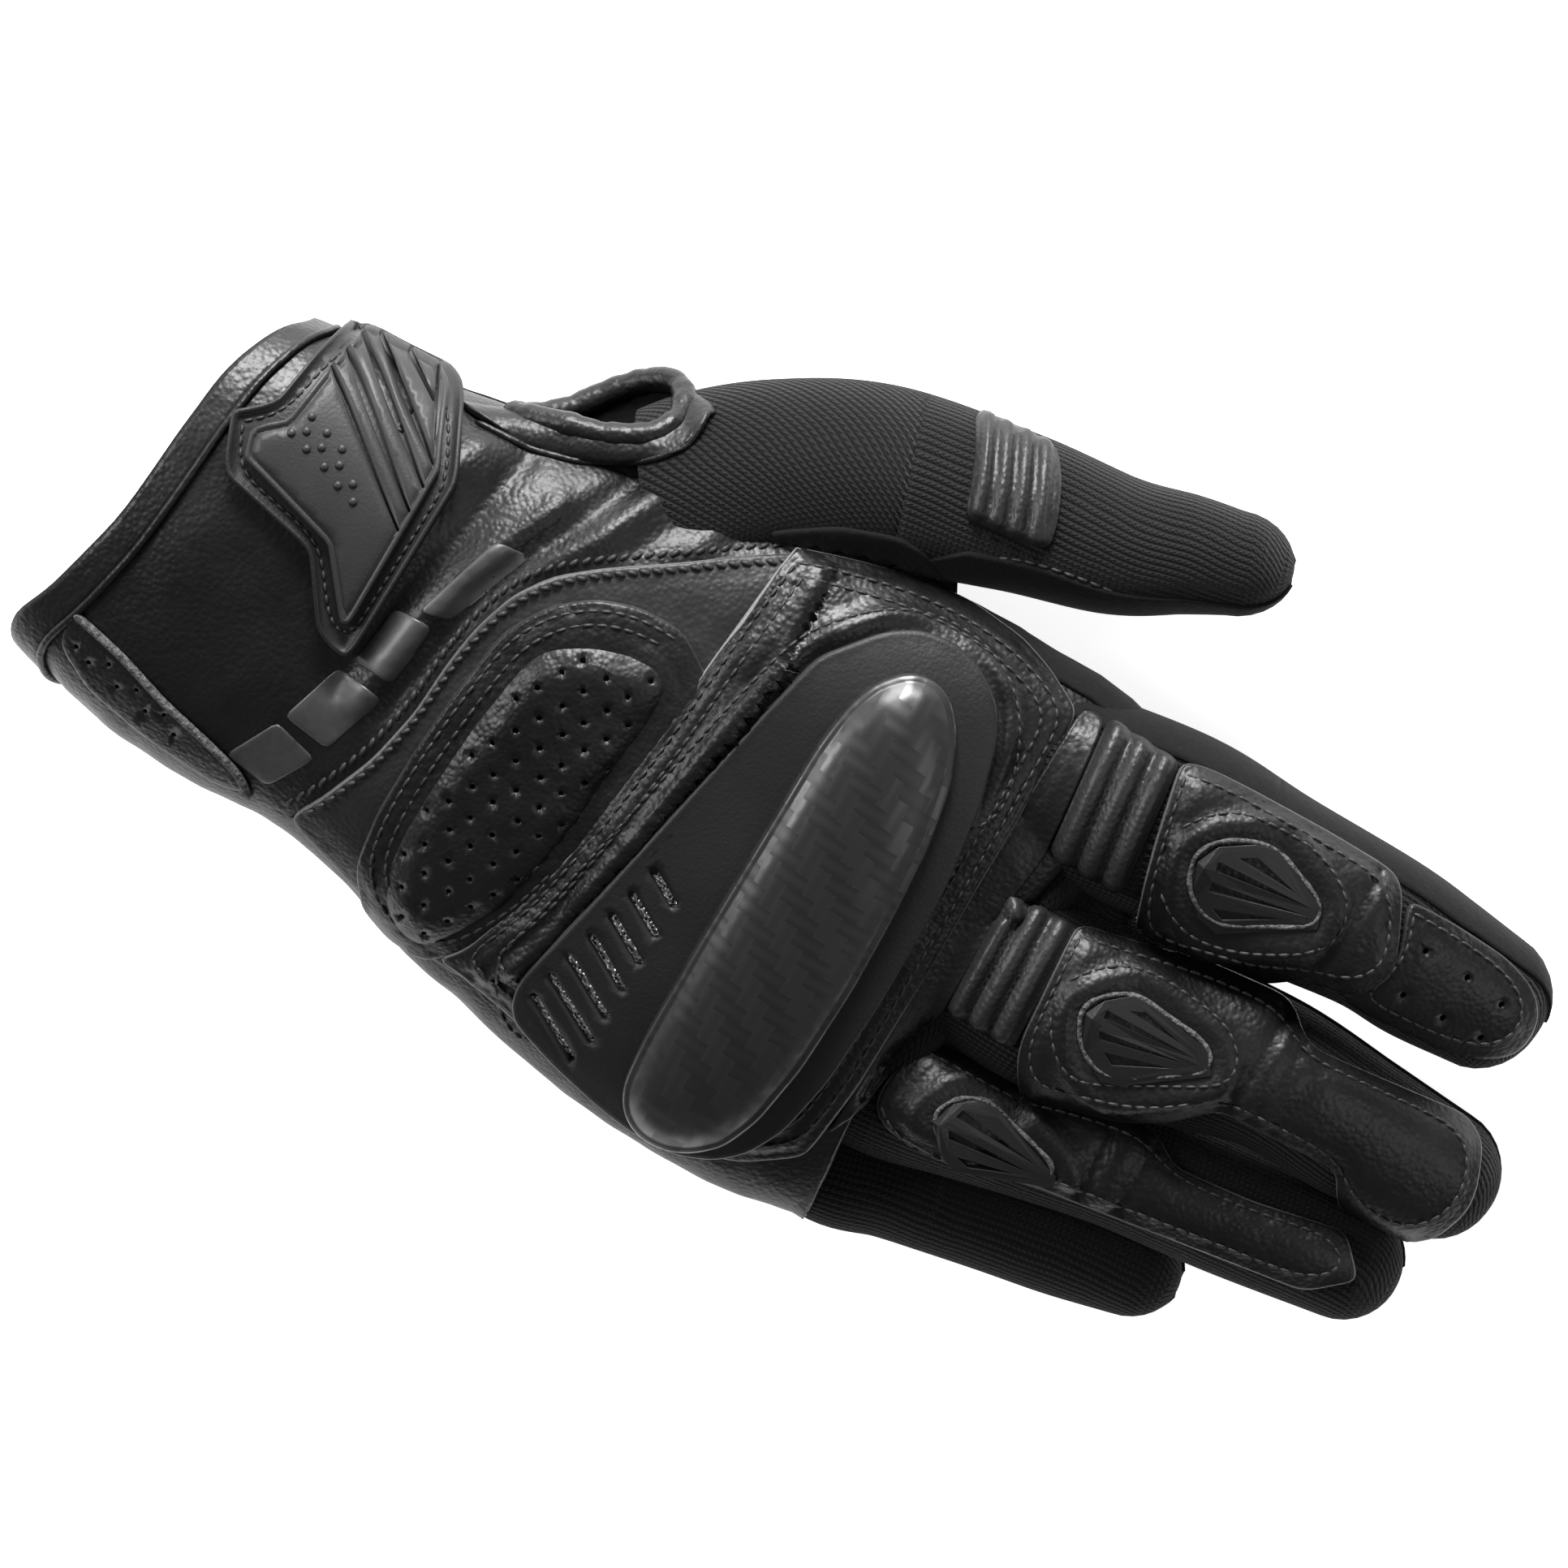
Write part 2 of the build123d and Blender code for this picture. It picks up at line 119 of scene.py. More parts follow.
def new_group(name, inputs, outputs):
    """A shader node group with named value inputs and outputs; returns it with its two ends."""
    group = bpy.data.node_groups.new(name, "ShaderNodeTree")
    for label, kind, value in inputs:
        socket = group.interface.new_socket(label, in_out="INPUT", socket_type=kind)
        if value is not None:
            socket.default_value = value
    for label, kind in outputs:
        group.interface.new_socket(label, in_out="OUTPUT", socket_type=kind)
    return group, group.nodes.new("NodeGroupInput"), group.nodes.new("NodeGroupOutput")


def add(tree, kind, **settings):
    """A node with its settings; a setting named in_X sets the input X to a constant."""
    node = tree.nodes.new(kind)
    for key, value in settings.items():
        if key.startswith("in_"):
            label = key[3:]
            node.inputs[int(label) if label.isdigit() else label].default_value = value
        else:
            setattr(node, key, value)
    return node


def math_node(tree, operation, first, second=None):
    """A maths node fed by sockets or numbers; returns its output."""
    node = add(tree, "ShaderNodeMath", operation=operation)
    for i, value in enumerate((first, second)):
        if value is None:
            continue
        if isinstance(value, (int, float)):
            node.inputs[i].default_value = value
        else:
            tree.links.new(value, node.inputs[i])
    return node.outputs[0]


grain, grain_in, grain_out = new_group(
    "hide_grain",
    [("Position", "NodeSocketVector", None), ("Pebble Size", "NodeSocketFloat", 1100.0)],
    [("Height", "NodeSocketFloat"), ("Tone", "NodeSocketFloat"), ("Sheen", "NodeSocketFloat")])
cells = add(grain, "ShaderNodeTexVoronoi", feature="SMOOTH_F1", in_Smoothness=0.6)
grain.links.new(grain_in.outputs["Position"], cells.inputs["Vector"])
grain.links.new(grain_in.outputs["Pebble Size"], cells.inputs["Scale"])
creases = add(grain, "ShaderNodeTexNoise", in_Scale=160.0, in_Detail=5.0, in_Roughness=0.6, in_Distortion=0.9)
grain.links.new(grain_in.outputs["Position"], creases.inputs["Vector"])
patches = add(grain, "ShaderNodeTexNoise", in_Scale=38.0, in_Detail=3.0)
grain.links.new(grain_in.outputs["Position"], patches.inputs["Vector"])
pebble = math_node(grain, "MULTIPLY", cells.outputs["Distance"], -0.55)
crease_height = math_node(grain, "MULTIPLY", creases.outputs["Fac"], 0.5)
grain.links.new(math_node(grain, "ADD", pebble, crease_height), grain_out.inputs["Height"])
grain.links.new(patches.outputs["Fac"], grain_out.inputs["Tone"])
grain.links.new(math_node(grain, "ADD", math_node(grain, "MULTIPLY", creases.outputs["Fac"], 0.5),
                          math_node(grain, "MULTIPLY", patches.outputs["Fac"], 0.5)),
                grain_out.inputs["Sheen"])


def mix_colour(tree, factor, dark, light):
    node = add(tree, "ShaderNodeMix", data_type="RGBA")
    for socket, value in ((node.inputs[0], factor), (node.inputs[6], dark), (node.inputs[7], light)):
        if isinstance(value, bpy.types.NodeSocket):
            tree.links.new(value, socket)
        else:
            socket.default_value = value
    return node.outputs[2]


def grey(value):
    return (value, value, value * 1.04, 1)


def map_range(tree, value, low, high, to_low, to_high):
    node = add(tree, "ShaderNodeMapRange", in_1=low, in_2=high, in_3=to_low, in_4=to_high)
    tree.links.new(value, node.inputs[0])
    return node.outputs[0]


def fabric(name):
    """A new material with its shader, and the object coordinates feeding it."""
    material = bpy.data.materials.new(name)
    material.use_nodes = True
    tree = material.node_tree
    return material, tree, tree.nodes["Principled BSDF"], add(tree, "ShaderNodeTexCoord")


def bumped(tree, shader, height, distance, strength=1.0):
    relief = add(tree, "ShaderNodeBump", in_Strength=strength, in_Distance=distance)
    tree.links.new(height, relief.inputs["Height"])
    tree.links.new(relief.outputs["Normal"], shader.inputs["Normal"])


def texture(tree, place, kind, **settings):
    """A texture node fed by the piece's own coordinates."""
    node = add(tree, kind, **settings)
    tree.links.new(place.outputs["Object"], node.inputs["Vector"])
    return node


def tint(tree, shader, factor, dark, light):
    """Colours a shader between two greys."""
    tree.links.new(mix_colour(tree, factor, grey(dark), grey(light)), shader.inputs["Base Color"])


GRAIN_DEPTH = 0.00034


def leather(name, dark, light, rough_low, rough_high, edge):
    """Dyed goatskin between two tones and two roughnesses, with a paler cut edge."""
    material, tree, shader, place = fabric(name)
    hide = add(tree, "ShaderNodeGroup", node_tree=grain)
    tree.links.new(place.outputs["Object"], hide.inputs["Position"])
    tone = map_range(tree, hide.outputs["Tone"], 0.35, 0.65, 0.0, 1.0)
    colour = mix_colour(tree, tone, grey(dark), grey(light))
    rim = add(tree, "ShaderNodeAttribute", attribute_name="rim")
    raw = map_range(tree, rim.outputs["Fac"], 0.55, 0.95, 0.0, 1.0)
    colour = mix_colour(tree, raw, colour, (edge, edge * 1.03, edge, 1))
    tree.links.new(colour, shader.inputs["Base Color"])
    tree.links.new(map_range(tree, hide.outputs["Sheen"], 0.3, 0.7, rough_low, rough_high),
                   shader.inputs["Roughness"])
    bumped(tree, shader, hide.outputs["Height"], GRAIN_DEPTH, 0.6)
    shader.inputs["Specular IOR Level"].default_value = 0.34
    return material


black_leather = leather("black_goatskin", 0.0026, 0.0058, 0.33, 0.50, edge=0.16)
grey_leather = leather("charcoal_goatskin", 0.012, 0.018, 0.38, 0.54, edge=0.14)
rib_leather = leather("charcoal_rib_goatskin", 0.0105, 0.0155, 0.36, 0.50, edge=0.12)

# ---------------------------------------------------------------------------------------------
# Shell forms: the hand, the four fingers and the thumb are stitched tubes. Each form is a skin
# of rings along a centre line, in millimetres; every panel is then laid on these forms.
AROUND = 96
RING_STEP = 1.2
NOSE_ANGLES = (12, 24, 36, 47, 57, 66, 74, 81, 87)


def smooth_path(stations, step):
    """Stations (rows of numbers, first three the centre) filled in by a smooth curve."""
    rows = np.array(stations, float)
    before, after = 2 * rows[0] - rows[1], 2 * rows[-1] - rows[-2]
    extended = np.vstack([before, rows, after])
    filled = []
    for i in range(1, len(extended) - 2):
        p0, p1, p2, p3 = extended[i - 1:i + 3]
        count = max(2, int(round(np.linalg.norm(p2[:3] - p1[:3]) / step)))
        for t in np.arange(count) / count:
            filled.append(0.5 * (2 * p1 + (p2 - p0) * t + (2 * p0 - 5 * p1 + 4 * p2 - p3) * t * t
                                 + (3 * p1 - p0 - 3 * p2 + p3) * t ** 3))
    filled.append(rows[-1])
    return np.array(filled)


def ring_points(centre, side, up, half_width, half_height, square):
    turns = np.linspace(0, 2 * math.pi, AROUND, endpoint=False)
    c, s = np.cos(turns), np.sin(turns)
    across = np.sign(c) * np.abs(c) ** (2 / square) * half_width
    upwards = np.sign(s) * np.abs(s) ** (2 / square) * half_height
    return centre + across[:, None] * side + upwards[:, None] * up


def tube_form(stations, back, nose=0.0):
    """Rings along stations (x, y, z, half width, half height, squareness), with a rounded nose.
    Each ring starts on the thumb side and turns over the back."""
    rows = smooth_path(stations, RING_STEP)
    along = np.gradient(rows[:, :3], axis=0)
    along /= np.linalg.norm(along, axis=1)[:, None]
    rings = []
    for row, forward in zip(rows, along):
        side = np.cross(back, forward)
        side /= np.linalg.norm(side)
        rings.append(ring_points(row[:3], side, np.cross(forward, side), *row[3:6]))
    if nose:
        up = np.cross(along[-1], side)
        for angle in np.radians(NOSE_ANGLES):
            centre = rows[-1, :3] + along[-1] * nose * math.sin(angle)
            shrink = math.cos(angle)
            rings.append(ring_points(centre, side, up, rows[-1, 3] * shrink, rows[-1, 4] * shrink,
                                     rows[-1, 5]))
    return np.array(rings)


def form_normals(form):
    along = np.gradient(form, axis=0)
    around = np.roll(form, -1, 1) - np.roll(form, 1, 1)
    normals = np.cross(around, along)
    return normals / (np.linalg.norm(normals, axis=2)[:, :, None] + 1e-9)


def finger_form(name, widths, heights, square, nose, root, sway=(0,) * 7):
    """A finger from inside the hand through its two joints to the tip."""
    knuckle, middle = joint_at[name + "_knuckle"], joint_at[name + "_middle_joint"]
    tip = np.array([root["end"] - nose, *root["tip"]])
    points = [root["inside"], root["front"], knuckle + (knuckle - middle) * -0.26,
              knuckle + (middle - knuckle) * 0.6, middle, middle + (tip - middle) * 0.5, tip]
    stations = [(p[0], p[1] + s, p[2], w, h, square) for p, s, w, h in zip(points, sway, widths, heights)]
    return tube_form(stations, np.array((0, 0, 1.0)), nose)


FINGER_FORMS = {
    "index": finger_form("index", (14, 15.4, 15.7, 14.6, 13.1, 12.7, 11.5), (12, 12.5, 12.2, 11.4, 11.0,
                                                                             10.3, 9.3),
                         2.3, 10.5, dict(inside=(72, 47.4, 22), front=(84, 48.4, 23.5), tip=(50.6, 13.5),
                                         end=171.8),
                         sway=(0, 0, -2.1, -1.6, -0.4, -0.4, 0)),
    "middle": finger_form("middle", (14, 16, 16.6, 14.8, 12.6, 12.0, 10.8), (12, 13, 12.6, 11.4, 11.0, 10.2,
                                                                             9.2),
                          2.3, 10.5, dict(inside=(72, 16, 22), front=(84, 17, 24.0), tip=(21.0, 13.5),
                                          end=180.8),
                          sway=(0, 0, -1.6, -0.9, 0.5, 0, 0)),
    "ring": finger_form("ring", (12, 12.5, 11.5, 11.0, 10.8, 10.8, 10.0), (11, 12, 11.6, 10.6, 10.2, 9.8,
                                                                           9.0),
                        2.3, 10.0, dict(inside=(72, -12, 20), front=(84, -12.0, 20.5), tip=(-0.3, 12.5),
                                        end=174.9)),
    "little": finger_form("little", (8.5, 9.5, 9.4, 9.2, 9.1, 9.0, 8.3), (9.5, 10, 9.6, 9.2, 9.0, 8.8, 8.0),
                          2.2, 9.5, dict(inside=(72, -31, 16), front=(84, -31.6, 15.5), tip=(-21.8, 9.5),
                                         end=144.6)),
}
THUMB_LEAN = math.radians(35.0)
THUMB_BACK = np.array((0, math.sin(THUMB_LEAN), math.cos(THUMB_LEAN)))
thumb_joint = joint_at["thumb_joint"]
thumb_form = tube_form([
    (-4, 50, 21, 12, 11, 2.2), (6, 58.0, 20, 15, 13.6, 2.2), (17, 67.0, 18.5, 15.2, 14, 2.2),
    (32, 75.3, 17.3, 15.0, 13, 2.2), (*(thumb_joint + (0, -0.5, 0)), 13.0, 11.5, 2.2), (70, 85.2, 15, 11.2,
                                                                                        10.6, 2.2),
    (81, 89.7, 13.8, 9.5, 9.6, 2.2), (88.5, 92.4, 12.9, 8.3, 8.6, 2.1)], THUMB_BACK, 9.8)

# x, lowest y, highest y, lowest z, highest z of the hand's tube
HAND_SECTIONS = [(-71, -22.5, 49.0, 3.4, 45.5), (-63, -24.6, 50.0, 2.6, 46.6),
                 (-56, -26.6, 51.0, 2.0, 47.0), (-42, -27.2, 51.5, 1.8, 46.5),
                 (-28, -26.4, 53.0, 1.8, 45.5), (-12, -29.0, 56.5, 1.6, 44.5), (4, -34.0, 61.0, 1.6, 43.5),
                 (20, -37.8, 63.0, 1.6, 42.5), (38, -41.2, 64.4, 1.6, 42.0), (56, -42.8, 65.0, 2.4, 41.2),
                 (70, -41.2, 65.8, 4.0, 39.8), (80, -38.4, 65.6, 6.0, 37.5), (85, -36.4, 62.2, 9.0, 34.0)]
HAND_SQUARENESS = 2.35
hand_stations = [(x, (a + b) / 2, (c + d) / 2, (b - a) / 2, (d - c) / 2, HAND_SQUARENESS)
                 for x, a, b, c, d in HAND_SECTIONS]
hand_form = tube_form(hand_stations, np.array((0, 0, 1.0)))
# The mouth runs back to a point on the little-finger side and is cut away on the thumb side:
# how far each part of its edge stands forward, against the angle round the wrist.
MOUTH_ANGLES = (0, 20, 45, 90, 105, 120, 135, 150, 180, 210, 270, 330, 360)
MOUTH_FORWARD = (8.5, 4.5, 1.8, 1.4, -0.6, -2.4, -5.2, -4, 2, 4, 6, 8, 8.5)
forward = np.interp(np.arange(AROUND) * 360 / AROUND, MOUTH_ANGLES, MOUTH_FORWARD)
for _ in range(4):
    forward = (np.roll(forward, 1) + 2 * forward + np.roll(forward, -1)) / 4
hand_form[:, :, 0] += np.clip((-45 - hand_form[:, :, 0]) / 26, 0, 1) * forward
plain_hand_form = hand_form.copy()

# Soft folds where the wrist bends, as distances from lines given in pattern coordinates
FOLDS = [(((-27, -8), (-25, 8), (-22, 22), (-19, 40)), -1.5, 2.2),
         (((-22, -8), (-20, 8), (-17, 20), (-10, 36)), 1.5, 2.0),
         (((-18, -8), (-15.5, 8), (-13, 20), (-6, 36), (-2, 46)), -1.3, 1.8),
         (((-8, 26), (-2, 34), (3, 46)), 1.2, 1.6), (((4, 36), (8, 44), (10, 50)), -0.8, 1.6),
         (((-30, 12), (-29, 30), (-26, 38)), 1.0, 2.4), (((12, 41), (15, 50)), 0.6, 1.2),
         (((17, 45), (20, 50)), -0.6, 1.2), (((28, -30), (18, 0), (24, 30), (30, 47)), -0.5, 2.0)]


def line_distance(points, line):
    """Distance from each (x, v) point to an open line of points."""
    line = np.array(line, float)
    a, b = line[:-1], line[1:]
    ab = b - a
    ap = points[:, None, :] - a
    t = np.clip((ap * ab).sum(2) / ((ab * ab).sum(1) + 1e-9), 0, 1)
    return np.min(np.linalg.norm(ap - t[..., None] * ab, axis=2), axis=1)


flat_hand = hand_form.reshape(-1, 3)
in_pattern = np.column_stack([flat_hand[:, 0], flat_hand[:, 1] * math.cos(LEAN) - flat_hand[:, 2]
                              * math.sin(LEAN)])
push = np.zeros(len(flat_hand))
for line, amount, spread in FOLDS:
    push += amount * np.exp(-(line_distance(in_pattern, line) / spread) ** 2)
push *= np.clip((flat_hand[:, 2] - 14) / 14, 0, 1)
for i, p in enumerate(flat_hand):
    push[i] += 0.55 * noise.noise(Vector(p) / 17.0) + 0.25 * noise.noise(Vector(p) / 6.0)
hand_form = hand_form + push.reshape(hand_form.shape[:2])[:, :, None] * form_normals(hand_form)


def own_mesh(name, points, faces, uv=None, rim=None):
    """A smooth mesh object from points in millimetres; uv and rim are given per point."""
    mesh = bpy.data.meshes.new(name)
    mesh.from_pydata([tuple(p) for p in np.asarray(points) * MM], [], faces)
    mesh.update()
    mesh.polygons.foreach_set("use_smooth", [True] * len(mesh.polygons))
    if uv is not None:
        layer = mesh.uv_layers.new(name="weave")
        corner = np.empty(len(mesh.loops), int)
        mesh.loops.foreach_get("vertex_index", corner)
        layer.data.foreach_set("uv", np.asarray(uv, float)[corner].ravel())
    if rim is not None:
        mesh.attributes.new("rim", "FLOAT", "POINT").data.foreach_set("value", np.asarray(rim, np.float32))
    piece = bpy.data.objects.new(name, mesh)
    bpy.context.scene.collection.objects.link(piece)
    return piece


def dress(piece, material, rider, nodes=()):
    """Material, slot, the CAD nodes it stands for, and the body it moves with; given a pair of bodies, the
    piece is only baked in place.
    """
    piece.data.materials.append(material)
    if isinstance(rider, str):
        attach(piece, rider)
    else:
        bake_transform(piece)
    if nodes:
        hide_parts(*nodes)
    return piece


EDGE_PALENESS = 0.55


def shell(name, form, first, last, low=0.0, high=360.0, lift=0.0, wall=0.8, closed_end=False, columns=None,
          keep=None):
    """A skin on a form from ring first to ring last, all round or from one angle to another (numbers
    or functions of the ring's x), with a wall thickness inwards and its free edges closed by flat walls."""
    normals = form_normals(form)
    whole = not callable(low) and not callable(high) and high - low >= 360
    count = columns or (AROUND if whole else 48)
    last = len(form) - 1 if last is None else last
    centres = form.mean(axis=1)
    along = np.concatenate([[0], np.cumsum(np.linalg.norm(np.diff(centres, axis=0), axis=1))])
    outer, inner, uv = [], [], []
    for i in range(first, last + 1):
        x = centres[i][0]
        a = low(x) if callable(low) else low
        b = high(x) if callable(high) else high
        angles = np.linspace(a, b, count + (0 if whole else 1), endpoint=not whole)
        place = (angles % 360) / 360 * AROUND
        j = np.floor(place).astype(int) % AROUND
        k, t = (j + 1) % AROUND, (place - np.floor(place))[:, None]
        p = form[i, j] * (1 - t) + form[i, k] * t
        n = normals[i, j] * (1 - t) + normals[i, k] * t
        radius = np.linalg.norm(form[i] - centres[i], axis=1).mean()
        outer.append(p + n * lift)
        inner.append(p + n * (lift - wall))
        uv.append(np.column_stack([np.radians(angles) * max(radius, 6), np.full(len(angles), along[i])]))
    outer, inner, uv = np.array(outer), np.array(inner), np.array(uv)
    rows, width = outer.shape[:2]
    points = np.vstack([outer.reshape(-1, 3), inner.reshape(-1, 3)])
    shift = rows * width
    faces = []
    across = width if whole else width - 1
    for i in range(rows - 1):
        for j in range(across):
            k = (j + 1) % width
            quad = (i * width + j, i * width + k, (i + 1) * width + k, (i + 1) * width + j)
            if keep is not None and not keep(outer.reshape(-1, 3)[list(quad)].mean(axis=0)):
                continue
            faces.append(quad)
    if closed_end and whole:
        faces.append(tuple((rows - 1) * width + j for j in range(width)))
    edge_use = {}
    for face in faces:
        for a, b in zip(face, face[1:] + face[:1]):
            edge_use[(a, b)] = True
    walls = [(b, a, a + shift, b + shift) for a, b in edge_use if (b, a) not in edge_use]
    insides = [tuple(v + shift for v in reversed(face)) for face in faces]
    both_uv = np.vstack([uv.reshape(-1, 2)] * 2)
    rim = np.zeros(2 * shift)
    for a, b, c, d in walls:
        rim[[a, b, c, d]] = EDGE_PALENESS
    used = sorted({v for face in faces for v in face})
    used = used + [v + shift for v in used]
    renumber = {v: i for i, v in enumerate(used)}
    faces = [tuple(renumber[v] for v in face) for face in faces + insides + walls]
    return own_mesh(name, points[used], faces, both_uv[used], rim[used])


# ---------------------------------------------------------------------------------------------
# Fabrics under the leather: matt suede on the palm, ribbed elastic knit on the sides of the fingers and the
# thumb, and a lining cloth darker than the black leather, painted shade for the insides of the cuff and the
# wrist notch.


def suede_material(name, dark, light, fluff):
    material, tree, shader, place = fabric(name)
    nap = texture(tree, place, "ShaderNodeTexNoise", in_Scale=900.0, in_Detail=4.0, in_Roughness=0.7)
    cloud = texture(tree, place, "ShaderNodeTexNoise", in_Scale=60.0, in_Detail=3.0)
    tone = math_node(tree, "ADD", math_node(tree, "MULTIPLY", nap.outputs["Fac"], 0.6),
                     math_node(tree, "MULTIPLY", cloud.outputs["Fac"], 0.4))
    tint(tree, shader, map_range(tree, tone, 0.35, 0.65, 0.0, 1.0), dark, light)
    shader.inputs["Roughness"].default_value = 0.9
    shader.inputs["Specular IOR Level"].default_value = 0.2
    shader.inputs["Sheen Weight"].default_value = fluff
    bumped(tree, shader, nap.outputs["Fac"], 0.0003)
    return material


def wave_of(tree, value, pitch):
    """A smooth 0 to 1 wave of a length in millimetres."""
    turn = math_node(tree, "MULTIPLY", value, 2 * math.pi / pitch)
    return math_node(tree, "ADD", math_node(tree, "MULTIPLY", math_node(tree, "SINE", turn), 0.5), 0.5)


def knit_material(name, column, row, slant, skew, dark, light, depth):
    """Knit stitches in columns and rows of the piece's own weave coordinates, in millimetres. Their colour is
    painted shade, dark in the valleys between ribs and loops and light on their tops, with a little random
    fuzz.
    """
    material, tree, shader, place = fabric(name)
    parts = add(tree, "ShaderNodeSeparateXYZ")
    tree.links.new(place.outputs["UV"], parts.inputs[0])
    wobble = texture(tree, place, "ShaderNodeTexNoise", in_Scale=90.0, in_Detail=2.0)
    drift = math_node(tree, "MULTIPLY", wobble.outputs["Fac"], 1.1)
    u = math_node(tree, "ADD", math_node(tree, "ADD", parts.outputs[0], drift),
                  math_node(tree, "MULTIPLY", parts.outputs[1], slant))
    v = math_node(tree, "ADD", parts.outputs[1], math_node(tree, "MULTIPLY", parts.outputs[0], skew))
    ribs = wave_of(tree, u, column)
    arms = math_node(tree, "ABSOLUTE", math_node(tree, "SUBTRACT", ribs, 0.5))
    loops = wave_of(tree, math_node(tree, "ADD", v, math_node(tree, "MULTIPLY", arms, row * 0.9)), row)
    height = math_node(tree, "ADD", math_node(tree, "MULTIPLY", ribs, 0.45),
                       math_node(tree, "MULTIPLY", math_node(tree, "MULTIPLY", ribs, loops), 0.6))
    fuzz = texture(tree, place, "ShaderNodeTexNoise", in_Scale=2600.0, in_Detail=2.0)
    # painted shade: the yarn's colour follows the relief, darker in its valleys, plus a random fuzz tone
    shade = math_node(tree, "ADD", math_node(tree, "MULTIPLY", height, 0.8),
                      math_node(tree, "MULTIPLY", fuzz.outputs["Fac"], 0.2))
    tint(tree, shader, shade, dark, light)
    shader.inputs["Roughness"].default_value = 0.85
    shader.inputs["Specular IOR Level"].default_value = 0.25
    shader.inputs["Sheen Weight"].default_value = 0.04
    bumped(tree, shader, height, depth)
    return material


suede = suede_material("black_suede", 0.0022, 0.0052, 0.02)
# painted shade: the lining is darker than the black leather so the glove's openings look shaded inside
lining_painted_shade = suede_material("lining_painted_shade", 0.0008, 0.0016, 0.0)
finger_knit = knit_material("finger_knit", 1.15, 1.0, 0.0, 0.0, 0.0008, 0.0050, 0.0009)
thumb_knit = knit_material("thumb_knit", 1.5, 1.1, -1.05, 0.3, 0.0007, 0.0042, 0.0010)
web_knit = knit_material("web_knit", 1.1, 0.9, 0.0, 0.2, 0.0010, 0.0068, 0.0008)

# ---------------------------------------------------------------------------------------------
# Hand and cuff: one long tube. Goatskin goes over the back and both sides, suede covers the palm,
# and the thumb's side is left open for the wrist notch.
THUMB_MOUTH = ((-22.0, 3.0), 50.0, (13.0, 29.0))


def outside_mouth(p):
    """Leave out the part of the hand's side that opens into the thumb's mouth."""
    (x_low, x_high), y_low, (z_low, z_high) = THUMB_MOUTH
    return not (x_low < p[0] < x_high and p[1] > y_low and z_low < p[2] < z_high)


glove_back = shell("glove_back", hand_form, 0, None, low=-18, high=203, keep=outside_mouth, columns=110)
dress(glove_back, black_leather, "hand",
      ("hand_back", "cuff_back", "hand_sides", "cuff_thumb_side", "cuff_little_side"))


def palm_thumb_side(x):
    """The palm's suede climbs up the thumb side in front of the thumb."""
    climb = min(max((x - 12) / 20, 0), 1)
    return 342 + 36 * climb * climb * (3 - 2 * climb)


suede_palm = shell("suede_palm", hand_form, 1, None, low=199, high=palm_thumb_side, lift=0.6, columns=110)
dress(suede_palm, suede, "hand", ("hand_palm", "cuff_palm"))

# The lining tube is capped at its far end, a dark sheet of painted shade inside the cuff.
lining = shell("wrist_lining", hand_form, 1, 60, lift=-3.0, wall=0.5, closed_end=True, keep=outside_mouth)
dress(lining, lining_painted_shade, "hand")

# The knit between the finger roots closes the hand's front
web_rings = [hand_form[-1]]
for shrink, forward in ((0.985, 1.4), (0.95, 3.0), (0.88, 4.4), (0.76, 5.4), (0.55, 6.0), (0.2, 6.3)):
    middle = hand_form[-1].mean(axis=0)
    web_rings.append(middle + (hand_form[-1] - middle) * shrink + (forward, 0, 0))
finger_webs = shell("finger_webs", np.array(web_rings), 0, None, lift=-0.3, wall=0.5, closed_end=True)
dress(finger_webs, web_knit, "hand", ("ring_root_gusset", "little_root_gusset"))

# ---------------------------------------------------------------------------------------------
# Finger and thumb stalls: knit tubes in two lengths that meet half way along the first bone, with
# suede laid over their palm side and round the outside of the index finger.


def ring_near(form, x):
    return int(np.argmin(np.abs(form.mean(axis=1)[:, 0] - x)))


def metres(*p):
    return tuple(value * MM for value in p)


def crossing(a, b, start, end):
    """The two bodies a piece lies across, and where that stretch starts and ends (mm); the piece is not made
    to bend here.
    """
    return a, b, metres(*start), metres(*end)


SUEDE_LIFT, SUEDE_WALL = 0.55, 1.0
JOINT_BEND = 7.0
STALLS = {"index": (113, 196, 396), "middle": (112, 196, 344), "ring": (107, 196, 344), "little": (101, 186,
                                                                                                   350)}
middle_bend, root_bend = {}, {}
for finger, (split_x, suede_low, suede_high) in STALLS.items():
    form = FINGER_FORMS[finger]
    knuckle, joint = joint_at[finger + "_knuckle"], joint_at[finger + "_middle_joint"]
    base, tip = finger + "_base", finger + "_tip"
    root_bend[finger] = crossing("hand", base, knuckle - (6, 0, 0), knuckle + (JOINT_BEND, 0, 0))
    middle_bend[finger] = crossing(base, tip, joint - (JOINT_BEND, 0, 0), joint + (JOINT_BEND, 0, 0))
    split, seam = ring_near(form, split_x), 0 if finger == "little" else 1
    root = shell(finger + "_root_sleeve", form, ring_near(form, 76), split)
    dress(root, finger_knit, root_bend[finger],
          (finger + "_back", finger + "_fourchettes") if seam else (finger + "_back",))
    sleeve = shell(finger + "_tip_sleeve", form, split, None, closed_end=True)
    dress(sleeve, finger_knit, middle_bend[finger],
          (finger + "_tip_back", finger + "_tip_fourchettes") if seam else (finger + "_tip_back",))
    palm = shell(finger + "_root_suede", form, ring_near(form, 80), split, low=suede_low, high=suede_high,
                 lift=SUEDE_LIFT, wall=SUEDE_WALL)
    dress(palm, suede, root_bend[finger], (finger + "_palm",))
    palm = shell(finger + "_tip_suede", form, split, len(form) - 3, low=suede_low, high=suede_high,
                 lift=SUEDE_LIFT, wall=SUEDE_WALL)
    dress(palm, suede, middle_bend[finger], (finger + "_tip_palm",))

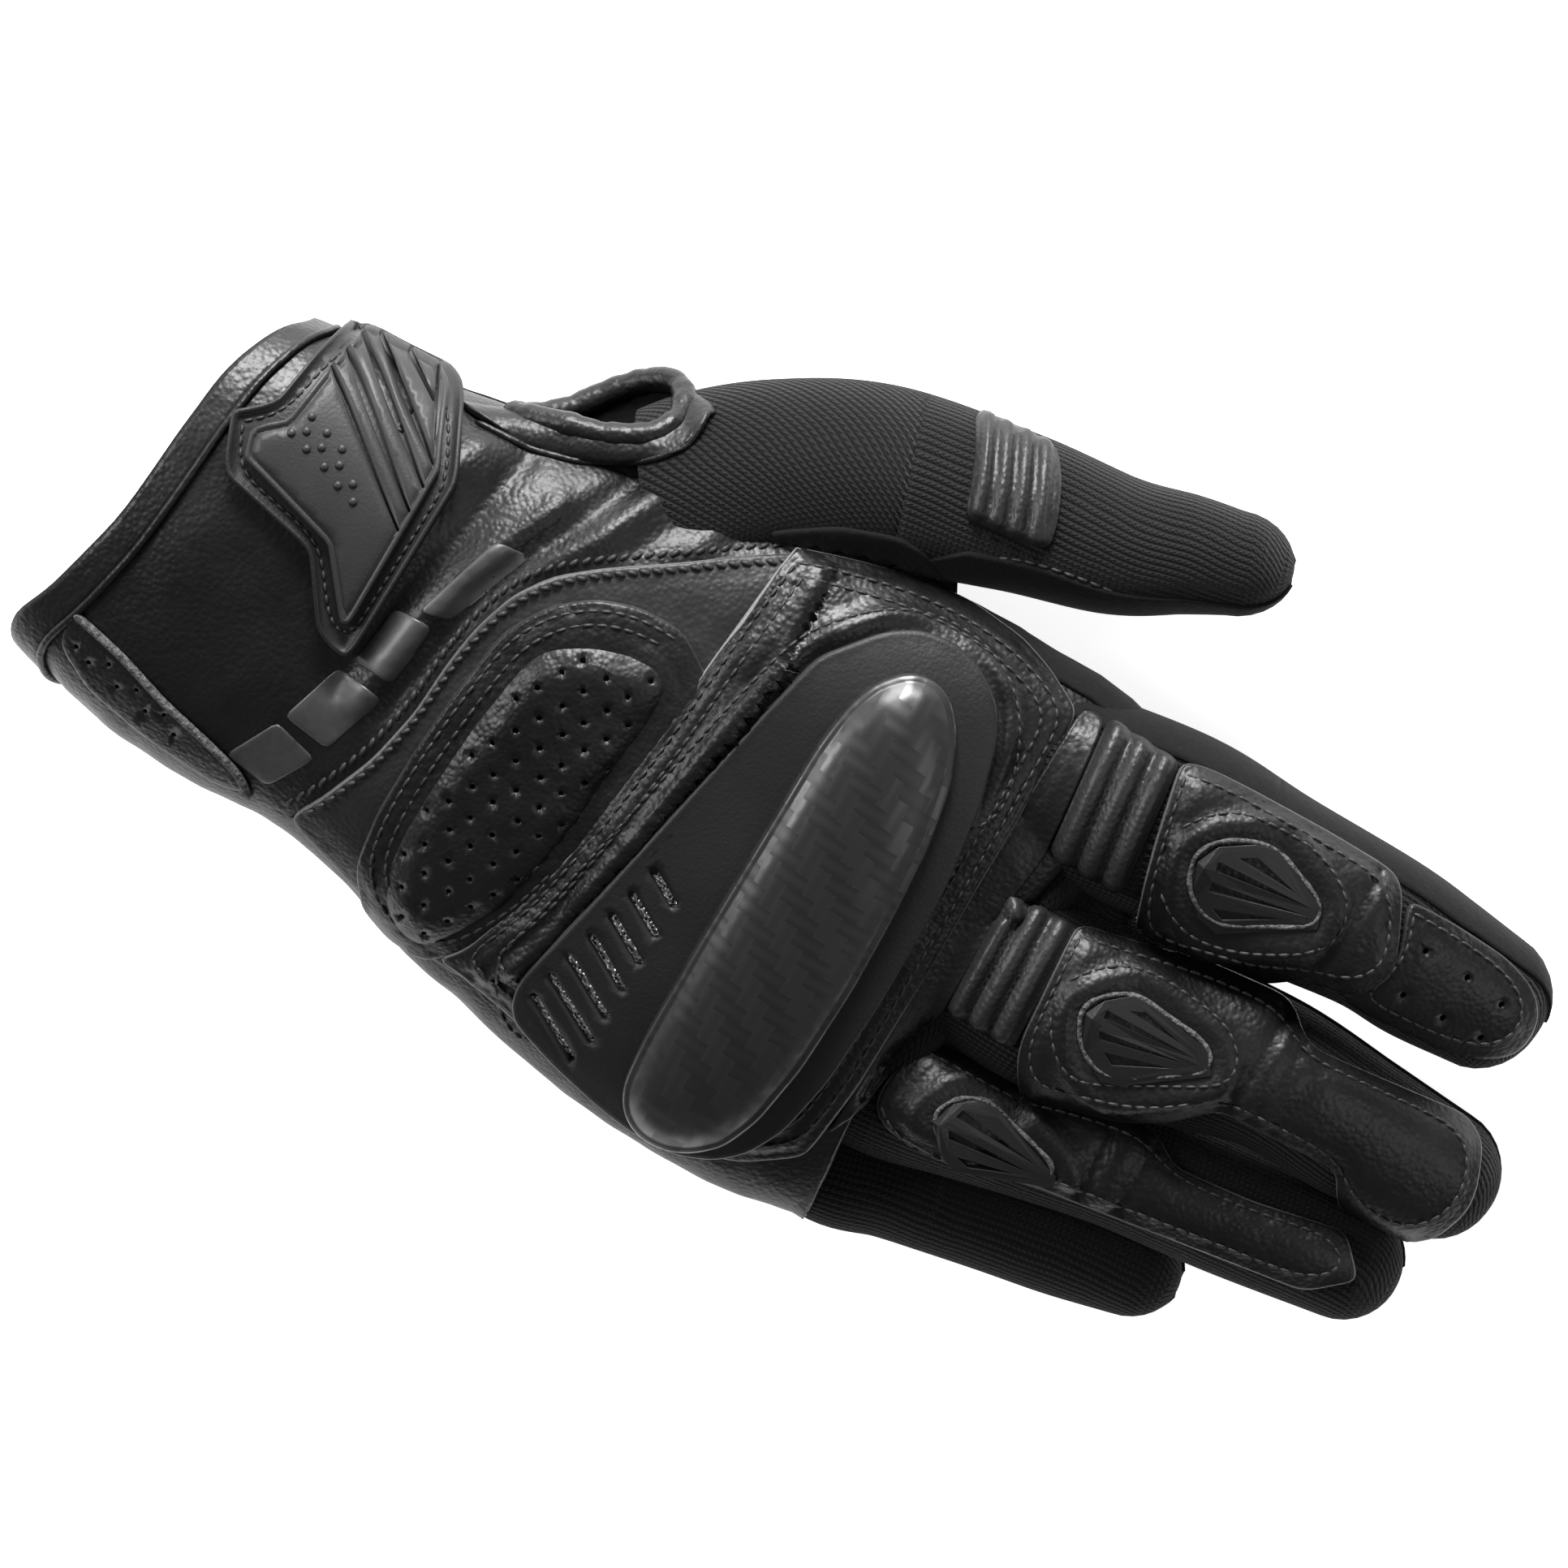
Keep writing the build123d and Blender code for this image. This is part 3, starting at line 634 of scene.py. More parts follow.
# A soft knit roll fills each fork between the index, middle and ring fingers
for label, finger, stations in (
        ("index_fork_roll", "index", [(72, 32.6, 22, 7.0, 9), (84, 33.0, 21.5, 6.8, 9), (94, 33.6, 20.5, 6.0,
                                                                                         8.4),
                                      (101, 34.0, 19.6, 4.4, 7.0)]),
        ("middle_fork_roll", "middle", [(72, 1.5, 20, 5.4, 8), (84, 1.4, 20, 5.2, 8), (91, 1.6, 19.4, 4.6,
                                                                                       7.4),
                                        (97, 1.8, 18.6, 3.4, 6.2)])):
    roll_form = tube_form([(*row, 2.1) for row in stations], np.array((0, 0, 1.0)), 4.0)
    dress(shell(label, roll_form, 0, None, closed_end=True), web_knit, root_bend[finger])

THUMB_SPLIT = 36.0
thumb_root_bend = crossing("hand", "thumb_base", (7, 63, 19), (26, 72, 18))
thumb_bend = crossing("thumb_base", "thumb_tip", thumb_joint - (7, 2.2, 0), thumb_joint + (7, 2.2, 0))
thumb_split = ring_near(thumb_form, THUMB_SPLIT)
thumb_root = shell("thumb_root_sleeve", thumb_form, ring_near(thumb_form, 0.5), thumb_split)
dress(thumb_root, thumb_knit, thumb_root_bend, ("thumb_back", "thumb_root_gusset"))
thumb_sleeve = shell("thumb_tip_sleeve", thumb_form, thumb_split, None, closed_end=True)
dress(thumb_sleeve, finger_knit, thumb_bend, ("thumb_tip_back",))


def thumb_suede_low(x):
    """The thumb's suede comes over its inner side in front of the ribs."""
    climb = min(max((x - 34) / 14, 0), 1)
    drop = min(max((x - 62) / 30, 0), 1)
    return 188 - 40 * climb + 22 * drop


thumb_root_palm = shell("thumb_root_suede", thumb_form, ring_near(thumb_form, 10), thumb_split, low=188,
                        high=345, lift=SUEDE_LIFT, wall=SUEDE_WALL)
dress(thumb_root_palm, suede, thumb_root_bend, ("thumb_palm",))
thumb_palm = shell("thumb_tip_suede", thumb_form, thumb_split, len(thumb_form) - 3, low=thumb_suede_low,
                   high=345, lift=SUEDE_LIFT, wall=SUEDE_WALL)
dress(thumb_palm, suede, thumb_bend, ("thumb_tip_palm",))

# ---------------------------------------------------------------------------------------------
# Yoke: the charcoal goatskin panel between the wrist and the knuckle padding. Like all the flat
# cut panels it follows a paper pattern: x along the hand and v across it, both in millimetres.
PATTERN_CENTRE = (44.1, 16.2)


def even_curve(points, step, closed=True, rounding=4):
    """A line through pattern or space points in even steps, with its corners eased."""
    points = np.array(points, float)
    if closed:
        points = np.vstack([points, points[:1]])
    lengths = np.concatenate([[0], np.cumsum(np.linalg.norm(np.diff(points, axis=0), axis=1))])
    places = np.linspace(0, lengths[-1], max(3, int(round(lengths[-1] / step))) + 1)
    curve = np.column_stack([np.interp(places, lengths, points[:, k]) for k in range(points.shape[1])])
    if closed:
        curve = curve[:-1]
    for _ in range(rounding):
        if closed:
            curve = (np.roll(curve, 1, 0) + 2 * curve + np.roll(curve, -1, 0)) / 4
        else:
            curve[1:-1] = (curve[:-2] + 2 * curve[1:-1] + curve[2:]) / 4
    return curve


OUTLINE_STEP = 1.1


def signed_area(loop):
    """Positive for an outline that runs anticlockwise."""
    return (loop[:, 0] * np.roll(loop[:, 1], -1) - np.roll(loop[:, 0], -1) * loop[:, 1]).sum()


def inward_of(loop, reach):
    """Unit directions into an anticlockwise outline, each from its neighbours reach points away."""
    along = np.roll(loop, -reach, 0) - np.roll(loop, reach, 0)
    return np.column_stack([-along[:, 1], along[:, 0]]) / np.linalg.norm(along, axis=1)[:, None]


def loop_distance(points, loop):
    return line_distance(points, np.vstack([loop, loop[:1]]))


def inside(points, loop):
    x, y = points[:, 0][:, None], points[:, 1][:, None]
    a, b = loop, np.roll(loop, -1, 0)
    crosses = (a[:, 1] > y) != (b[:, 1] > y)
    at = a[:, 0] + (y - a[:, 1]) * (b[:, 0] - a[:, 0]) / (b[:, 1] - a[:, 1] + 1e-12)
    return (crosses & (x < at)).sum(1) % 2 == 1


class Surface:
    """Skins in millimetres that panels are laid on, met from outside along the pattern's lines."""

    def __init__(self, *parts):
        self.points, self.faces, self.normals = [], [], []
        for part in parts:
            shift = len(self.points)
            if isinstance(part, np.ndarray):
                rows, width = part.shape[:2]
                points, normals = part.reshape(-1, 3), form_normals(part).reshape(-1, 3)
                faces = [(i * width + j, i * width + (j + 1) % width, (i + 1) * width + (j + 1) % width,
                          (i + 1) * width + j)
                         for i in range(rows - 1) for j in range(width)]
            else:
                mesh = part.data
                points = [v.co / MM for v in mesh.vertices]
                normals = [v.normal for v in mesh.vertices]
                faces = [tuple(face.vertices) for face in mesh.polygons]
            self.points += [Vector(p) for p in points]
            self.normals += [Vector(n) for n in normals]
            self.faces += [tuple(v + shift for v in face) for face in faces]
        self.tree = BVHTree.FromPolygons(self.points, self.faces)

    def lay(self, x, v):
        """The point and the outward direction where a pattern point lies on the skin."""
        eye = (look_at + out_of_back * CAMERA_DISTANCE) / MM
        through = look_at / MM + Vector((x - PATTERN_CENTRE[0], 0, 0)) + across_back * (v - PATTERN_CENTRE[1])
        line = (through - eye).normalized()
        hit, _, index, _ = self.tree.ray_cast(eye, line)
        if hit is None:
            best = min((self.tree.find_nearest(through - line * depth) for depth in range(-24, 28, 4)),
                       key=lambda n: n[3])
            hit, _, index, _ = best
        corners = [self.points[i] for i in self.faces[index]]
        weights = poly_3d_calc(corners, hit)
        normal = Vector((0, 0, 0))
        for i, weight in zip(self.faces[index], weights):
            normal += self.normals[i] * weight
        return hit, normal.normalized()


def smooth_step(t):
    t = np.clip(t, 0, 1)
    return t * t * (3 - 2 * t)


def cut_leather(thickness=1.0, radius=0.7, puff=0.0, width=5.0, rows=(), depth=0.55, spread=0.5,
                wrinkle=0.22):
    """Height of a panel by distance from its edge: rounded edge, soft filling, stitched rows."""
    def height(points, d):
        t = np.clip(d / radius, 0, 1)
        h = thickness * (0.3 + 0.7 * np.sqrt(np.clip(1 - (1 - t) ** 2, 0, 1))) + puff * smooth_step(d / width)
        for row in rows:
            h = h - depth * np.exp(-((d - row) / spread) ** 2)
        crumple = np.array([noise.noise(Vector((x / 7, v / 7, 0))) + 0.5
                            * noise.noise(Vector((x / 2.6, v / 2.6, 3)))
                            for x, v in points])
        return h + wrinkle * crumple * smooth_step(d / 2)
    return height


def panel(name, outline, target, rider, material, nodes=(), height=None, lift=0.1, holes=(),
          rounding=4, grid=1.5, raw=1.0, insets=(0.25, 0.6, 1.1), sink=0.7):
    """A cut panel laid on a surface: rounded edges, real holes, closed underneath."""
    height = height or cut_leather()
    loop = even_curve(outline, OUTLINE_STEP, True, rounding)
    loop = loop if signed_area(loop) > 0 else loop[::-1]
    inward = inward_of(loop, 1)
    flat = [loop]
    for inset in insets:
        ring = loop + inward * inset
        flat.append(ring[inside(ring, loop) & (loop_distance(ring, loop) > inset * 0.9)])
    low, high = loop.min(0), loop.max(0)
    rows = np.arange(low[1], high[1], grid * 0.87)
    field = np.array([(x + (i % 2) * grid / 2, y) for i, y in enumerate(rows) for x in np.arange(low[0],
                                                                                                 high[0],
                                                                                                 grid)])
    field = field[inside(field, loop) & (loop_distance(field, loop) > insets[-1] + grid * 0.45)]
    edges = [(i, (i + 1) % len(loop)) for i in range(len(loop))]
    cuts = []
    for hole in holes:
        hole = np.array(hole, float)
        if len(field):
            field = field[~inside(field, hole) & (loop_distance(field, hole) > 0.45)]
        cuts.append(hole)
    flat.append(field)
    count = sum(len(part) for part in flat)
    for hole in cuts:
        edges += [(count + i, count + (i + 1) % len(hole)) for i in range(len(hole))]
        count += len(hole)
    flat = np.vstack([part for part in flat + cuts if len(part)])
    found = geometry.delaunay_2d_cdt([Vector(p) for p in flat], edges, [], 0, 1e-4)
    flat = np.array([tuple(p) for p in found[0]])
    triangles = np.array([tuple(face) for face in found[2]])
    middles = flat[triangles].mean(axis=1)
    kept = inside(middles, loop)
    for hole in cuts:
        kept &= ~inside(middles, hole)
    triangles = triangles[kept]
    distance = loop_distance(flat, loop)
    heights = height(flat, distance)
    top, bottom = [], []
    for (x, v), h in zip(flat, heights):
        point, normal = target.lay(x, v)
        top.append(point + normal * (lift + h))
        bottom.append(point + normal * (lift - sink))
    shift = len(flat)
    used = {}
    for a, b, c in triangles:
        for edge in ((a, b), (b, c), (c, a)):
            used[edge] = True
    walls = [(b, a, a + shift, b + shift) for a, b in used if (b, a) not in used]
    faces = [tuple(t) for t in triangles] + [(c + shift, b + shift, a + shift) for a, b,
                                             c in triangles] + walls
    rim = np.where(distance < 0.35, raw, 0.0)
    for hole in cuts:
        rim[loop_distance(flat, hole) < 0.02] = 0.0
    on_edge = sorted({v for face in faces for v in face})
    renumber = {int(v): i for i, v in enumerate(on_edge)}
    points = np.array([tuple(p) for p in top + bottom])[on_edge]
    faces = [tuple(renumber[int(v)] for v in face) for face in faces]
    piece = own_mesh(name, points, faces, np.vstack([flat, flat])[on_edge],
                     np.concatenate([rim, rim])[on_edge])
    return dress(piece, material, rider, nodes)


thread, tree, shader, place = fabric("black_thread")
twist = texture(tree, place, "ShaderNodeTexWave", wave_type="BANDS", bands_direction="DIAGONAL",
                in_Scale=900.0)
tint(tree, shader, twist.outputs["Fac"], 0.004, 0.015)
shader.inputs["Roughness"].default_value = 0.6

STITCH_STATIONS = ((0.06, 0.45, -0.16), (0.28, 1.0, 0.12), (0.72, 1.0, 0.12), (0.94, 0.45, -0.16))


def stitches(name, lines, target, rider, pitch=2.3, thick=0.62, slant=0.0):
    """Rows of machine stitches: each is a short bead of thread sunk at both ends."""
    points, faces = [], []
    for line in lines:
        laid = [target.lay(*p) for p in even_curve(line, pitch, False, 3)]
        for (a, up_a), (b, up_b) in zip(laid, laid[1:]):
            forward = b - a
            if not 0.4 * pitch < forward.length < 3.2 * pitch:
                continue
            up = (up_a + up_b).normalized()
            side = forward.cross(up).normalized()
            start = len(points)
            for t, girth, rise in STITCH_STATIONS:
                centre = a + forward * t + up * rise * thick + side * slant * (t - 0.5) * pitch
                for k in range(6):
                    angle = k * math.pi / 3
                    points.append(centre + (side * math.cos(angle) + up * math.sin(angle)) * girth * thick
                                  / 2)
            for ring in range(3):
                for k in range(6):
                    p, q = start + ring * 6 + k, start + ring * 6 + (k + 1) % 6
                    faces.append((p, p + 6, q + 6, q))
            faces.append(tuple(start + k for k in range(6)))
            faces.append(tuple(start + 18 + k for k in reversed(range(6))))
    piece = own_mesh(name, [tuple(p) for p in points], faces)
    return dress(piece, thread, rider)


def inset_line(outline, distance, rounding=4):
    """The outline moved inwards, for a row of stitches that follows the edge."""
    loop = even_curve(outline, OUTLINE_STEP, True, rounding)
    moved = loop + inward_of(loop, 2) * distance * (1 if signed_area(loop) > 0 else -1)
    good = loop_distance(moved, loop) > abs(distance) * 0.85
    return moved[good]


YOKE_REAR = [(27, 50), (18, 44), (10, 38), (0, 31), (-6, 26), (-10, 20), (-12.5, 12), (-13.5, 5), (-14, -5),
             (-16, -15), (-20, -25), (-23, -30)]
yoke_outline = YOKE_REAR + [(-10, -33.5), (4, -37.5), (16, -38), (24, -30), (30, 0), (34, 30), (33, 50)]
hand_skin = Surface(hand_form)
yoke = panel("yoke_panel", yoke_outline, hand_skin, "hand", grey_leather, ("yoke_panel",),
             cut_leather(1.0, 0.6, rows=(2.3,), depth=0.3), raw=0.75)
on_yoke = Surface(hand_form, yoke)
stitches("yoke_stitches_inner", [[(x + 0.9, v - 0.7) for x, v in YOKE_REAR]], on_yoke, "hand",
         pitch=2.1, thick=0.95, slant=0.35)
stitches("yoke_stitches_outer", [[(x - 1.5, v + 0.9) for x, v in YOKE_REAR]], hand_skin, "hand", pitch=2.1,
         thick=0.95, slant=-0.35)

# ---------------------------------------------------------------------------------------------
# Metacarpal pad: perforated goatskin over foam, inside a stitched border with a channel round it.
PAD = [(20, 20.5), (17, 22.8), (10, 22), (5, 20), (0, 17), (-3, 13), (-5, 0), (-5.8, -10), (-6, -20),
       (-5, -28), (-2, -33.5), (2, -36), (6, -36.8), (8.5, -35.5), (11, -32), (15, -25), (17, -15),
       (18.5, -5), (19.5, 5), (20.3, 13)]
PAD_BORDER = [(25, 48), (24.2, 36), (23, 25.5), (17, 29.3), (9, 29), (2, 26.5), (-4, 21.5), (-8.3, 14),
              (-10, 0), (-10.8, -12), (-10.8, -22), (-9.4, -31), (-5, -36.2), (2, -38.6), (9, -38.6),
              (14, -33), (18.5, -24), (21, -14), (23, -4), (24.5, 8), (26.5, 24), (29, 40), (30, 49)]
pad_border = panel("pad_border", PAD_BORDER[2:-2], on_yoke, "hand", black_leather,
                   ("metacarpal_pad",),
                   cut_leather(1.2, 0.8, puff=0.9, width=3.0, rows=(1.6, 3.9), depth=0.7, spread=0.55),
                   raw=0.6)
on_border = Surface(hand_form, yoke, pad_border)
stitches("pad_border_stitches",
         [inset_line(PAD_BORDER[2:-2], 1.6)[6:-40], inset_line(PAD_BORDER[2:-2], 3.9)[8:-40]], on_border,
         "hand")
HOLE_PITCH, HOLE_SIDES = 4.6, 8


def round_hole(x, v, radius):
    turns = [k * 2 * math.pi / HOLE_SIDES for k in range(HOLE_SIDES)]
    return [(x + radius * math.cos(turn), v + radius * math.sin(turn)) for turn in turns]


pad_loop = even_curve(PAD, OUTLINE_STEP)
pad_holes = []
for row in range(16):
    for column in range(8):
        x, v = -5 + column * HOLE_PITCH + (row % 2) * 2.3 + row * -0.25, -36 + row * 3.9 + column * -0.5
        if inside(np.array([(x, v)]), pad_loop)[0] and loop_distance(np.array([(x, v)]), pad_loop)[0] > 1.8:
            pad_holes.append(round_hole(x, v, 0.5))
pad = panel("metacarpal_pad", PAD, on_yoke, "hand", black_leather, ("back_foam",),
            cut_leather(2.2, 1.6, puff=1.6, width=5.0), holes=pad_holes, grid=1.3, raw=0.0, sink=0.4)

# ---------------------------------------------------------------------------------------------
# Knuckle panel: padded goatskin round the guard, gathered into soft ridges, with double stitching.
KNUCKLE = [(25.5, 50), (35, 53), (45, 55.6), (55, 56.8), (65, 56.2), (72, 54.4), (79.5, 51), (80, 30),
           (80, 5), (80, -20), (78.5, -34), (70, -40), (60, -43.6), (48, -43.4), (36, -41.2), (24, -38.6),
           (14, -37.2), (9.5, -37), (13, -33.5), (17.5, -22), (20.5, -6), (22.5, 12), (23.5, 28),
           (24.5, 40)]
GUARD = [(23.5, -31), (27, -15), (30, 0), (35, 25), (38, 37), (45, 45), (50, 48), (56, 49), (62, 48),
         (66, 45.5), (70, 40), (73, 30), (75, 15), (75.5, -5), (75, -20), (73, -30), (70, -36), (66, -39.6),
         (60, -42), (52, -42.4), (45, -41.6), (35, -39.6), (26, -37), (23.8, -34)]
guard_loop = even_curve(GUARD, OUTLINE_STEP)


def knuckle_height(points, d):
    """A raised pillow that swells between its own edge and the guard, with three gathered rows."""
    from_guard = loop_distance(points, guard_loop)
    base = cut_leather(1.5, 0.9, puff=1.4, width=4.0, rows=(1.7, 4.1), depth=0.6, spread=0.7)(points, d)
    ring = 1.7 * np.exp(-((from_guard - 2.4) / 1.7) ** 2)
    return base + ring * smooth_step((d - 4.8) / 3.0)


knuckle_panel = panel("knuckle_panel", KNUCKLE, on_yoke, "hand", black_leather,
                      ("knuckle_panel",), knuckle_height, lift=0.3, raw=1.0, grid=1.1)
on_knuckle = Surface(hand_form, yoke, pad_border, knuckle_panel)
stitches("knuckle_stitches", [inset_line(KNUCKLE, 1.7), inset_line(KNUCKLE, 4.1)], on_knuckle, "hand")
guard_edge = np.array(inset_line(GUARD, -4.6))
stitches("guard_stitches", [guard_edge[(guard_edge[:, 1] > 30) | (guard_edge[:, 0] < 30)]], on_knuckle,
         "hand", pitch=2.2)

# ---------------------------------------------------------------------------------------------
# Knuckle guard: a moulded rubber frame with seven slanting vents over wire mesh, and a domed shell
# with a woven carbon look set in it.


def moulded(name, dark, light, rough, grain_scale, depth):
    material, tree, shader, place = fabric(name)
    speckle = texture(tree, place, "ShaderNodeTexNoise", in_Scale=grain_scale, in_Detail=3.0)
    smudge = texture(tree, place, "ShaderNodeTexNoise", in_Scale=45.0, in_Detail=3.0)
    tone = mix_colour(tree, smudge.outputs["Fac"], grey(dark), grey(light))
    edge = add(tree, "ShaderNodeAttribute", attribute_name="rim")
    tree.links.new(mix_colour(tree, edge.outputs["Fac"], tone, (0.045, 0.047, 0.045, 1)),
                   shader.inputs["Base Color"])
    shader.inputs["Specular IOR Level"].default_value = 0.34
    tree.links.new(map_range(tree, smudge.outputs["Fac"], 0.3, 0.7, rough - 0.06, rough + 0.08),
                   shader.inputs["Roughness"])
    bumped(tree, shader, speckle.outputs["Fac"], depth)
    return material


guard_rubber = moulded("guard_rubber", 0.0062, 0.0092, 0.5, 1500.0, 0.00008)
guard_bed = Surface(plain_hand_form)
SLOTS = [((33, -5.5), (38.5, -8.5)), ((32, -10.5), (38.5, -14)), ((31, -15), (38.5, -19)),
         ((30, -19.5), (38.5, -24)), ((28.7, -24), (38.5, -29)), ((27.7, -28), (38.5, -33.3)),
         ((27, -32), (37.5, -37.2))]
SLOT_HALF = 0.75
slots = []
for left, right in SLOTS:
    left, right = np.array(left, float), np.array(right, float)
    forward = (right - left) / np.linalg.norm(right - left)
    side = np.array((-forward[1], forward[0]))
    ends = [right + forward * math.cos(a) * SLOT_HALF + side * math.sin(a) * SLOT_HALF
            for a in np.linspace(-math.pi / 2, math.pi / 2, 5)]
    ends += [left + forward * math.cos(a) * SLOT_HALF + side * math.sin(a) * SLOT_HALF
             for a in np.linspace(math.pi / 2, 3 * math.pi / 2, 5)]
    slots.append(ends)


def frame_height(points, d):
    h = 2.4 * (0.25 + 0.75 * np.sqrt(1 - (1 - np.clip(d / 0.6, 0, 1)) ** 2))
    return h - 0.45 * np.exp(-((d - 1.5) / 0.3) ** 2)


panel("guard_frame", GUARD, guard_bed, "hand", guard_rubber, ("guard_frame",), frame_height,
      lift=3.0, holes=slots, raw=0.35, sink=3.2)
mesh_wire, tree, shader, place = fabric("vent_wire")
woven = texture(tree, place, "ShaderNodeTexVoronoi", in_Scale=1500.0)
tint(tree, shader, map_range(tree, woven.outputs["Distance"], 0.2, 0.55, 0.0, 1.0), 0.02, 0.75)
shader.inputs["Metallic"].default_value = 0.8
shader.inputs["Roughness"].default_value = 0.35
bumped(tree, shader, woven.outputs["Distance"], 0.0004)
panel("guard_vent_mesh", [(25, -35), (32, -4), (41, -4), (41, -38), (30, -37)], guard_bed, "hand",
      mesh_wire, ("guard_vent_mesh",), cut_leather(0.6, 0.3, wrinkle=0), lift=3.4, rounding=1,
      raw=0.0)

SHELL = [(45, 10), (45, 25), (46, 33), (48, 38), (52, 42), (56, 43), (60, 42), (64, 38), (67, 31), (69, 20),
         (70, 8), (70.5, -5), (70, -20), (68.5, -30), (66, -36), (62, -39.4), (58, -41), (53, -41.2),
         (49, -39.4), (46.5, -36), (45.5, -28), (45, -10)]


def shell_height(points, d):
    dome = 6.0 * np.sqrt(np.clip(1 - (1 - np.clip(d / 13, 0, 1)) ** 2, 0, 1)) ** 0.9
    lip = 1.2 * np.sqrt(np.clip(1 - (1 - np.clip(d / 0.5, 0, 1)) ** 2, 0, 1))
    return lip + dome * 0.75 - 0.9 * np.exp(-((d - 1.5) / 0.3) ** 2)


twill, tree, shader, place = fabric("shell_twill")
parts = add(tree, "ShaderNodeSeparateXYZ")
tree.links.new(place.outputs["UV"], parts.inputs[0])
TOW = 2.5


def tow(value):
    return math_node(tree, "FLOOR", math_node(tree, "DIVIDE", value, TOW))


step_sum = math_node(tree, "ADD", tow(parts.outputs[0]), tow(parts.outputs[1]))
over = math_node(tree, "LESS_THAN", math_node(tree, "FLOORED_MODULO", step_sum, 4.0), 1.5)
warp = math_node(tree, "MULTIPLY", wave_of(tree, parts.outputs[0], TOW), over)
weft = math_node(tree, "MULTIPLY", wave_of(tree, parts.outputs[1], TOW),
                 math_node(tree, "SUBTRACT", 1.0, over))
tint(tree, shader, over, 0.0022, 0.0115)
tree.links.new(map_range(tree, over, 0.0, 1.0, 0.52, 0.36), shader.inputs["Roughness"])
shader.inputs["Coat Weight"].default_value = 0.3
shader.inputs["Coat Roughness"].default_value = 0.34
bumped(tree, shader, math_node(tree, "ADD", warp, weft), 0.00006)
panel("guard_shell", SHELL, guard_bed, "hand", twill, ("guard_shell",), shell_height,
      lift=5.0, raw=0.0, insets=(0.3, 0.8, 1.25, 1.75), sink=2.0)

# ---------------------------------------------------------------------------------------------
# Finger bases: a narrow stitched strip along the knuckles, and charcoal accordion panels that stretch
# over the index and middle roots.
index_skin = Surface(hand_form, FINGER_FORMS["index"])
middle_skin = Surface(hand_form, FINGER_FORMS["middle"])
ring_skin = Surface(hand_form, FINGER_FORMS["ring"])


RIB_BASE, RIB_RISE = 0.9, 2.2


def ribbed(first, pitch, lean):
    """Round cross ribs with sewn valleys; lean shifts a rib along x as it crosses the finger."""
    def height(points, d):
        phase = (points[:, 0] - first + points[:, 1] * lean) / pitch
        ribs = np.abs(np.sin(np.pi * phase)) ** 0.75
        return (RIB_BASE + RIB_RISE * ribs) * (0.35 + 0.65 * smooth_step(d / 1.3))
    return height


for finger, skin, box, lean, top, pitch in (
        ("index", index_skin, ((84.3, 52.6), (98.2, 52.4), (101.0, 29.6), (87.2, 28.9)), 0.125, 52.5, 4.55),
        ("middle", middle_skin, ((85.0, 20.0), (97.8, 20.6), (98.6, -1.4), (86.0, -1.6)), 0.045, 20.0, 4.2)):
    panel(finger + "_accordion", box, skin, root_bend[finger], rib_leather,
          (finger + "_accordion",), ribbed(84.4 + lean * top, pitch, lean), rounding=1, grid=0.75, raw=0.0,
          insets=(0.25, 0.6))
panel("knuckle_strip", [(79.6, 52.6), (84.2, 52.4), (85.8, 40), (87, 29), (86, 20), (86, -1.5), (84.5, -8),
                        (83, -22),
                        (79.6, -30), (79.2, 0), (79.4, 30)], Surface(hand_form, FINGER_FORMS["index"],
                                                                     FINGER_FORMS["middle"],
                                                                     FINGER_FORMS["ring"]),
      "hand", black_leather, (), cut_leather(0.8, 0.8, rows=(1.2,), depth=0.3), lift=0.1,
      raw=0.0)

# ---------------------------------------------------------------------------------------------
# Finger tops: padded goatskin panels sewn down round hard faceted protectors on the first bones.
INDEX_PANEL = [(98, 52.8), (103, 54), (110, 54.5), (125, 55), (137, 55), (140, 53.5), (144, 46), (146, 41),
               (144.5, 38), (142, 35), (133, 33), (129, 30), (125, 28.5), (115, 26), (106.5, 23.8),
               (103, 33), (101, 40)]
INDEX_GUARD = [(108, 41), (110, 44.5), (115, 47.5), (119, 48.5), (130, 44.5), (131, 41.5), (117, 33.5),
               (113, 34), (110, 36)]
MIDDLE_PANEL = [(97, 21), (98, 10), (99, 0), (101, -4), (104, -7.5), (110, -5), (120, -2), (127, 2),
                (131, 6), (133, 7.5), (154.5, 9), (157, 4.5), (168, 3.5), (174, 8), (176, 14), (175.5, 18),
                (172.5, 24.5), (168, 26.5), (141, 23.5), (138, 24.5), (135.5, 27), (133, 28), (120, 26.5),
                (106, 23)]
MIDDLE_GUARD = [(105, 10), (107, 13), (111, 16), (126, 15), (128.5, 12), (116, 3.5), (113, 2.5), (108, 4.5)]
RING_REAR = [(85, -8), (104, -7), (105, -14), (104, -21.8), (98, -23), (88, -23.6), (84.6, -22), (83.4, -19)]
RING_FRONT = [(103.6, -7), (112, -4.5), (125, -1.6), (128, -2.8), (131, -4.8), (145, -3), (161, 0.6),
              (167, -5), (160, -10.8), (141, -14), (120, -17.6), (113, -18.8), (103.6, -21.8)]
RING_GUARD = [(93, -18), (95, -13.5), (100, -11), (102, -12), (115, -15), (115.5, -16.5), (100, -22),
              (97, -21)]
INDEX_TIP = [(141.5, 52.6), (150, 53), (160, 52.6), (166, 51), (169.4, 48), (170.3, 44), (169.4, 40),
             (166, 37.2), (160, 35), (145, 33.6), (140, 33.6), (144, 40), (145.4, 44)]


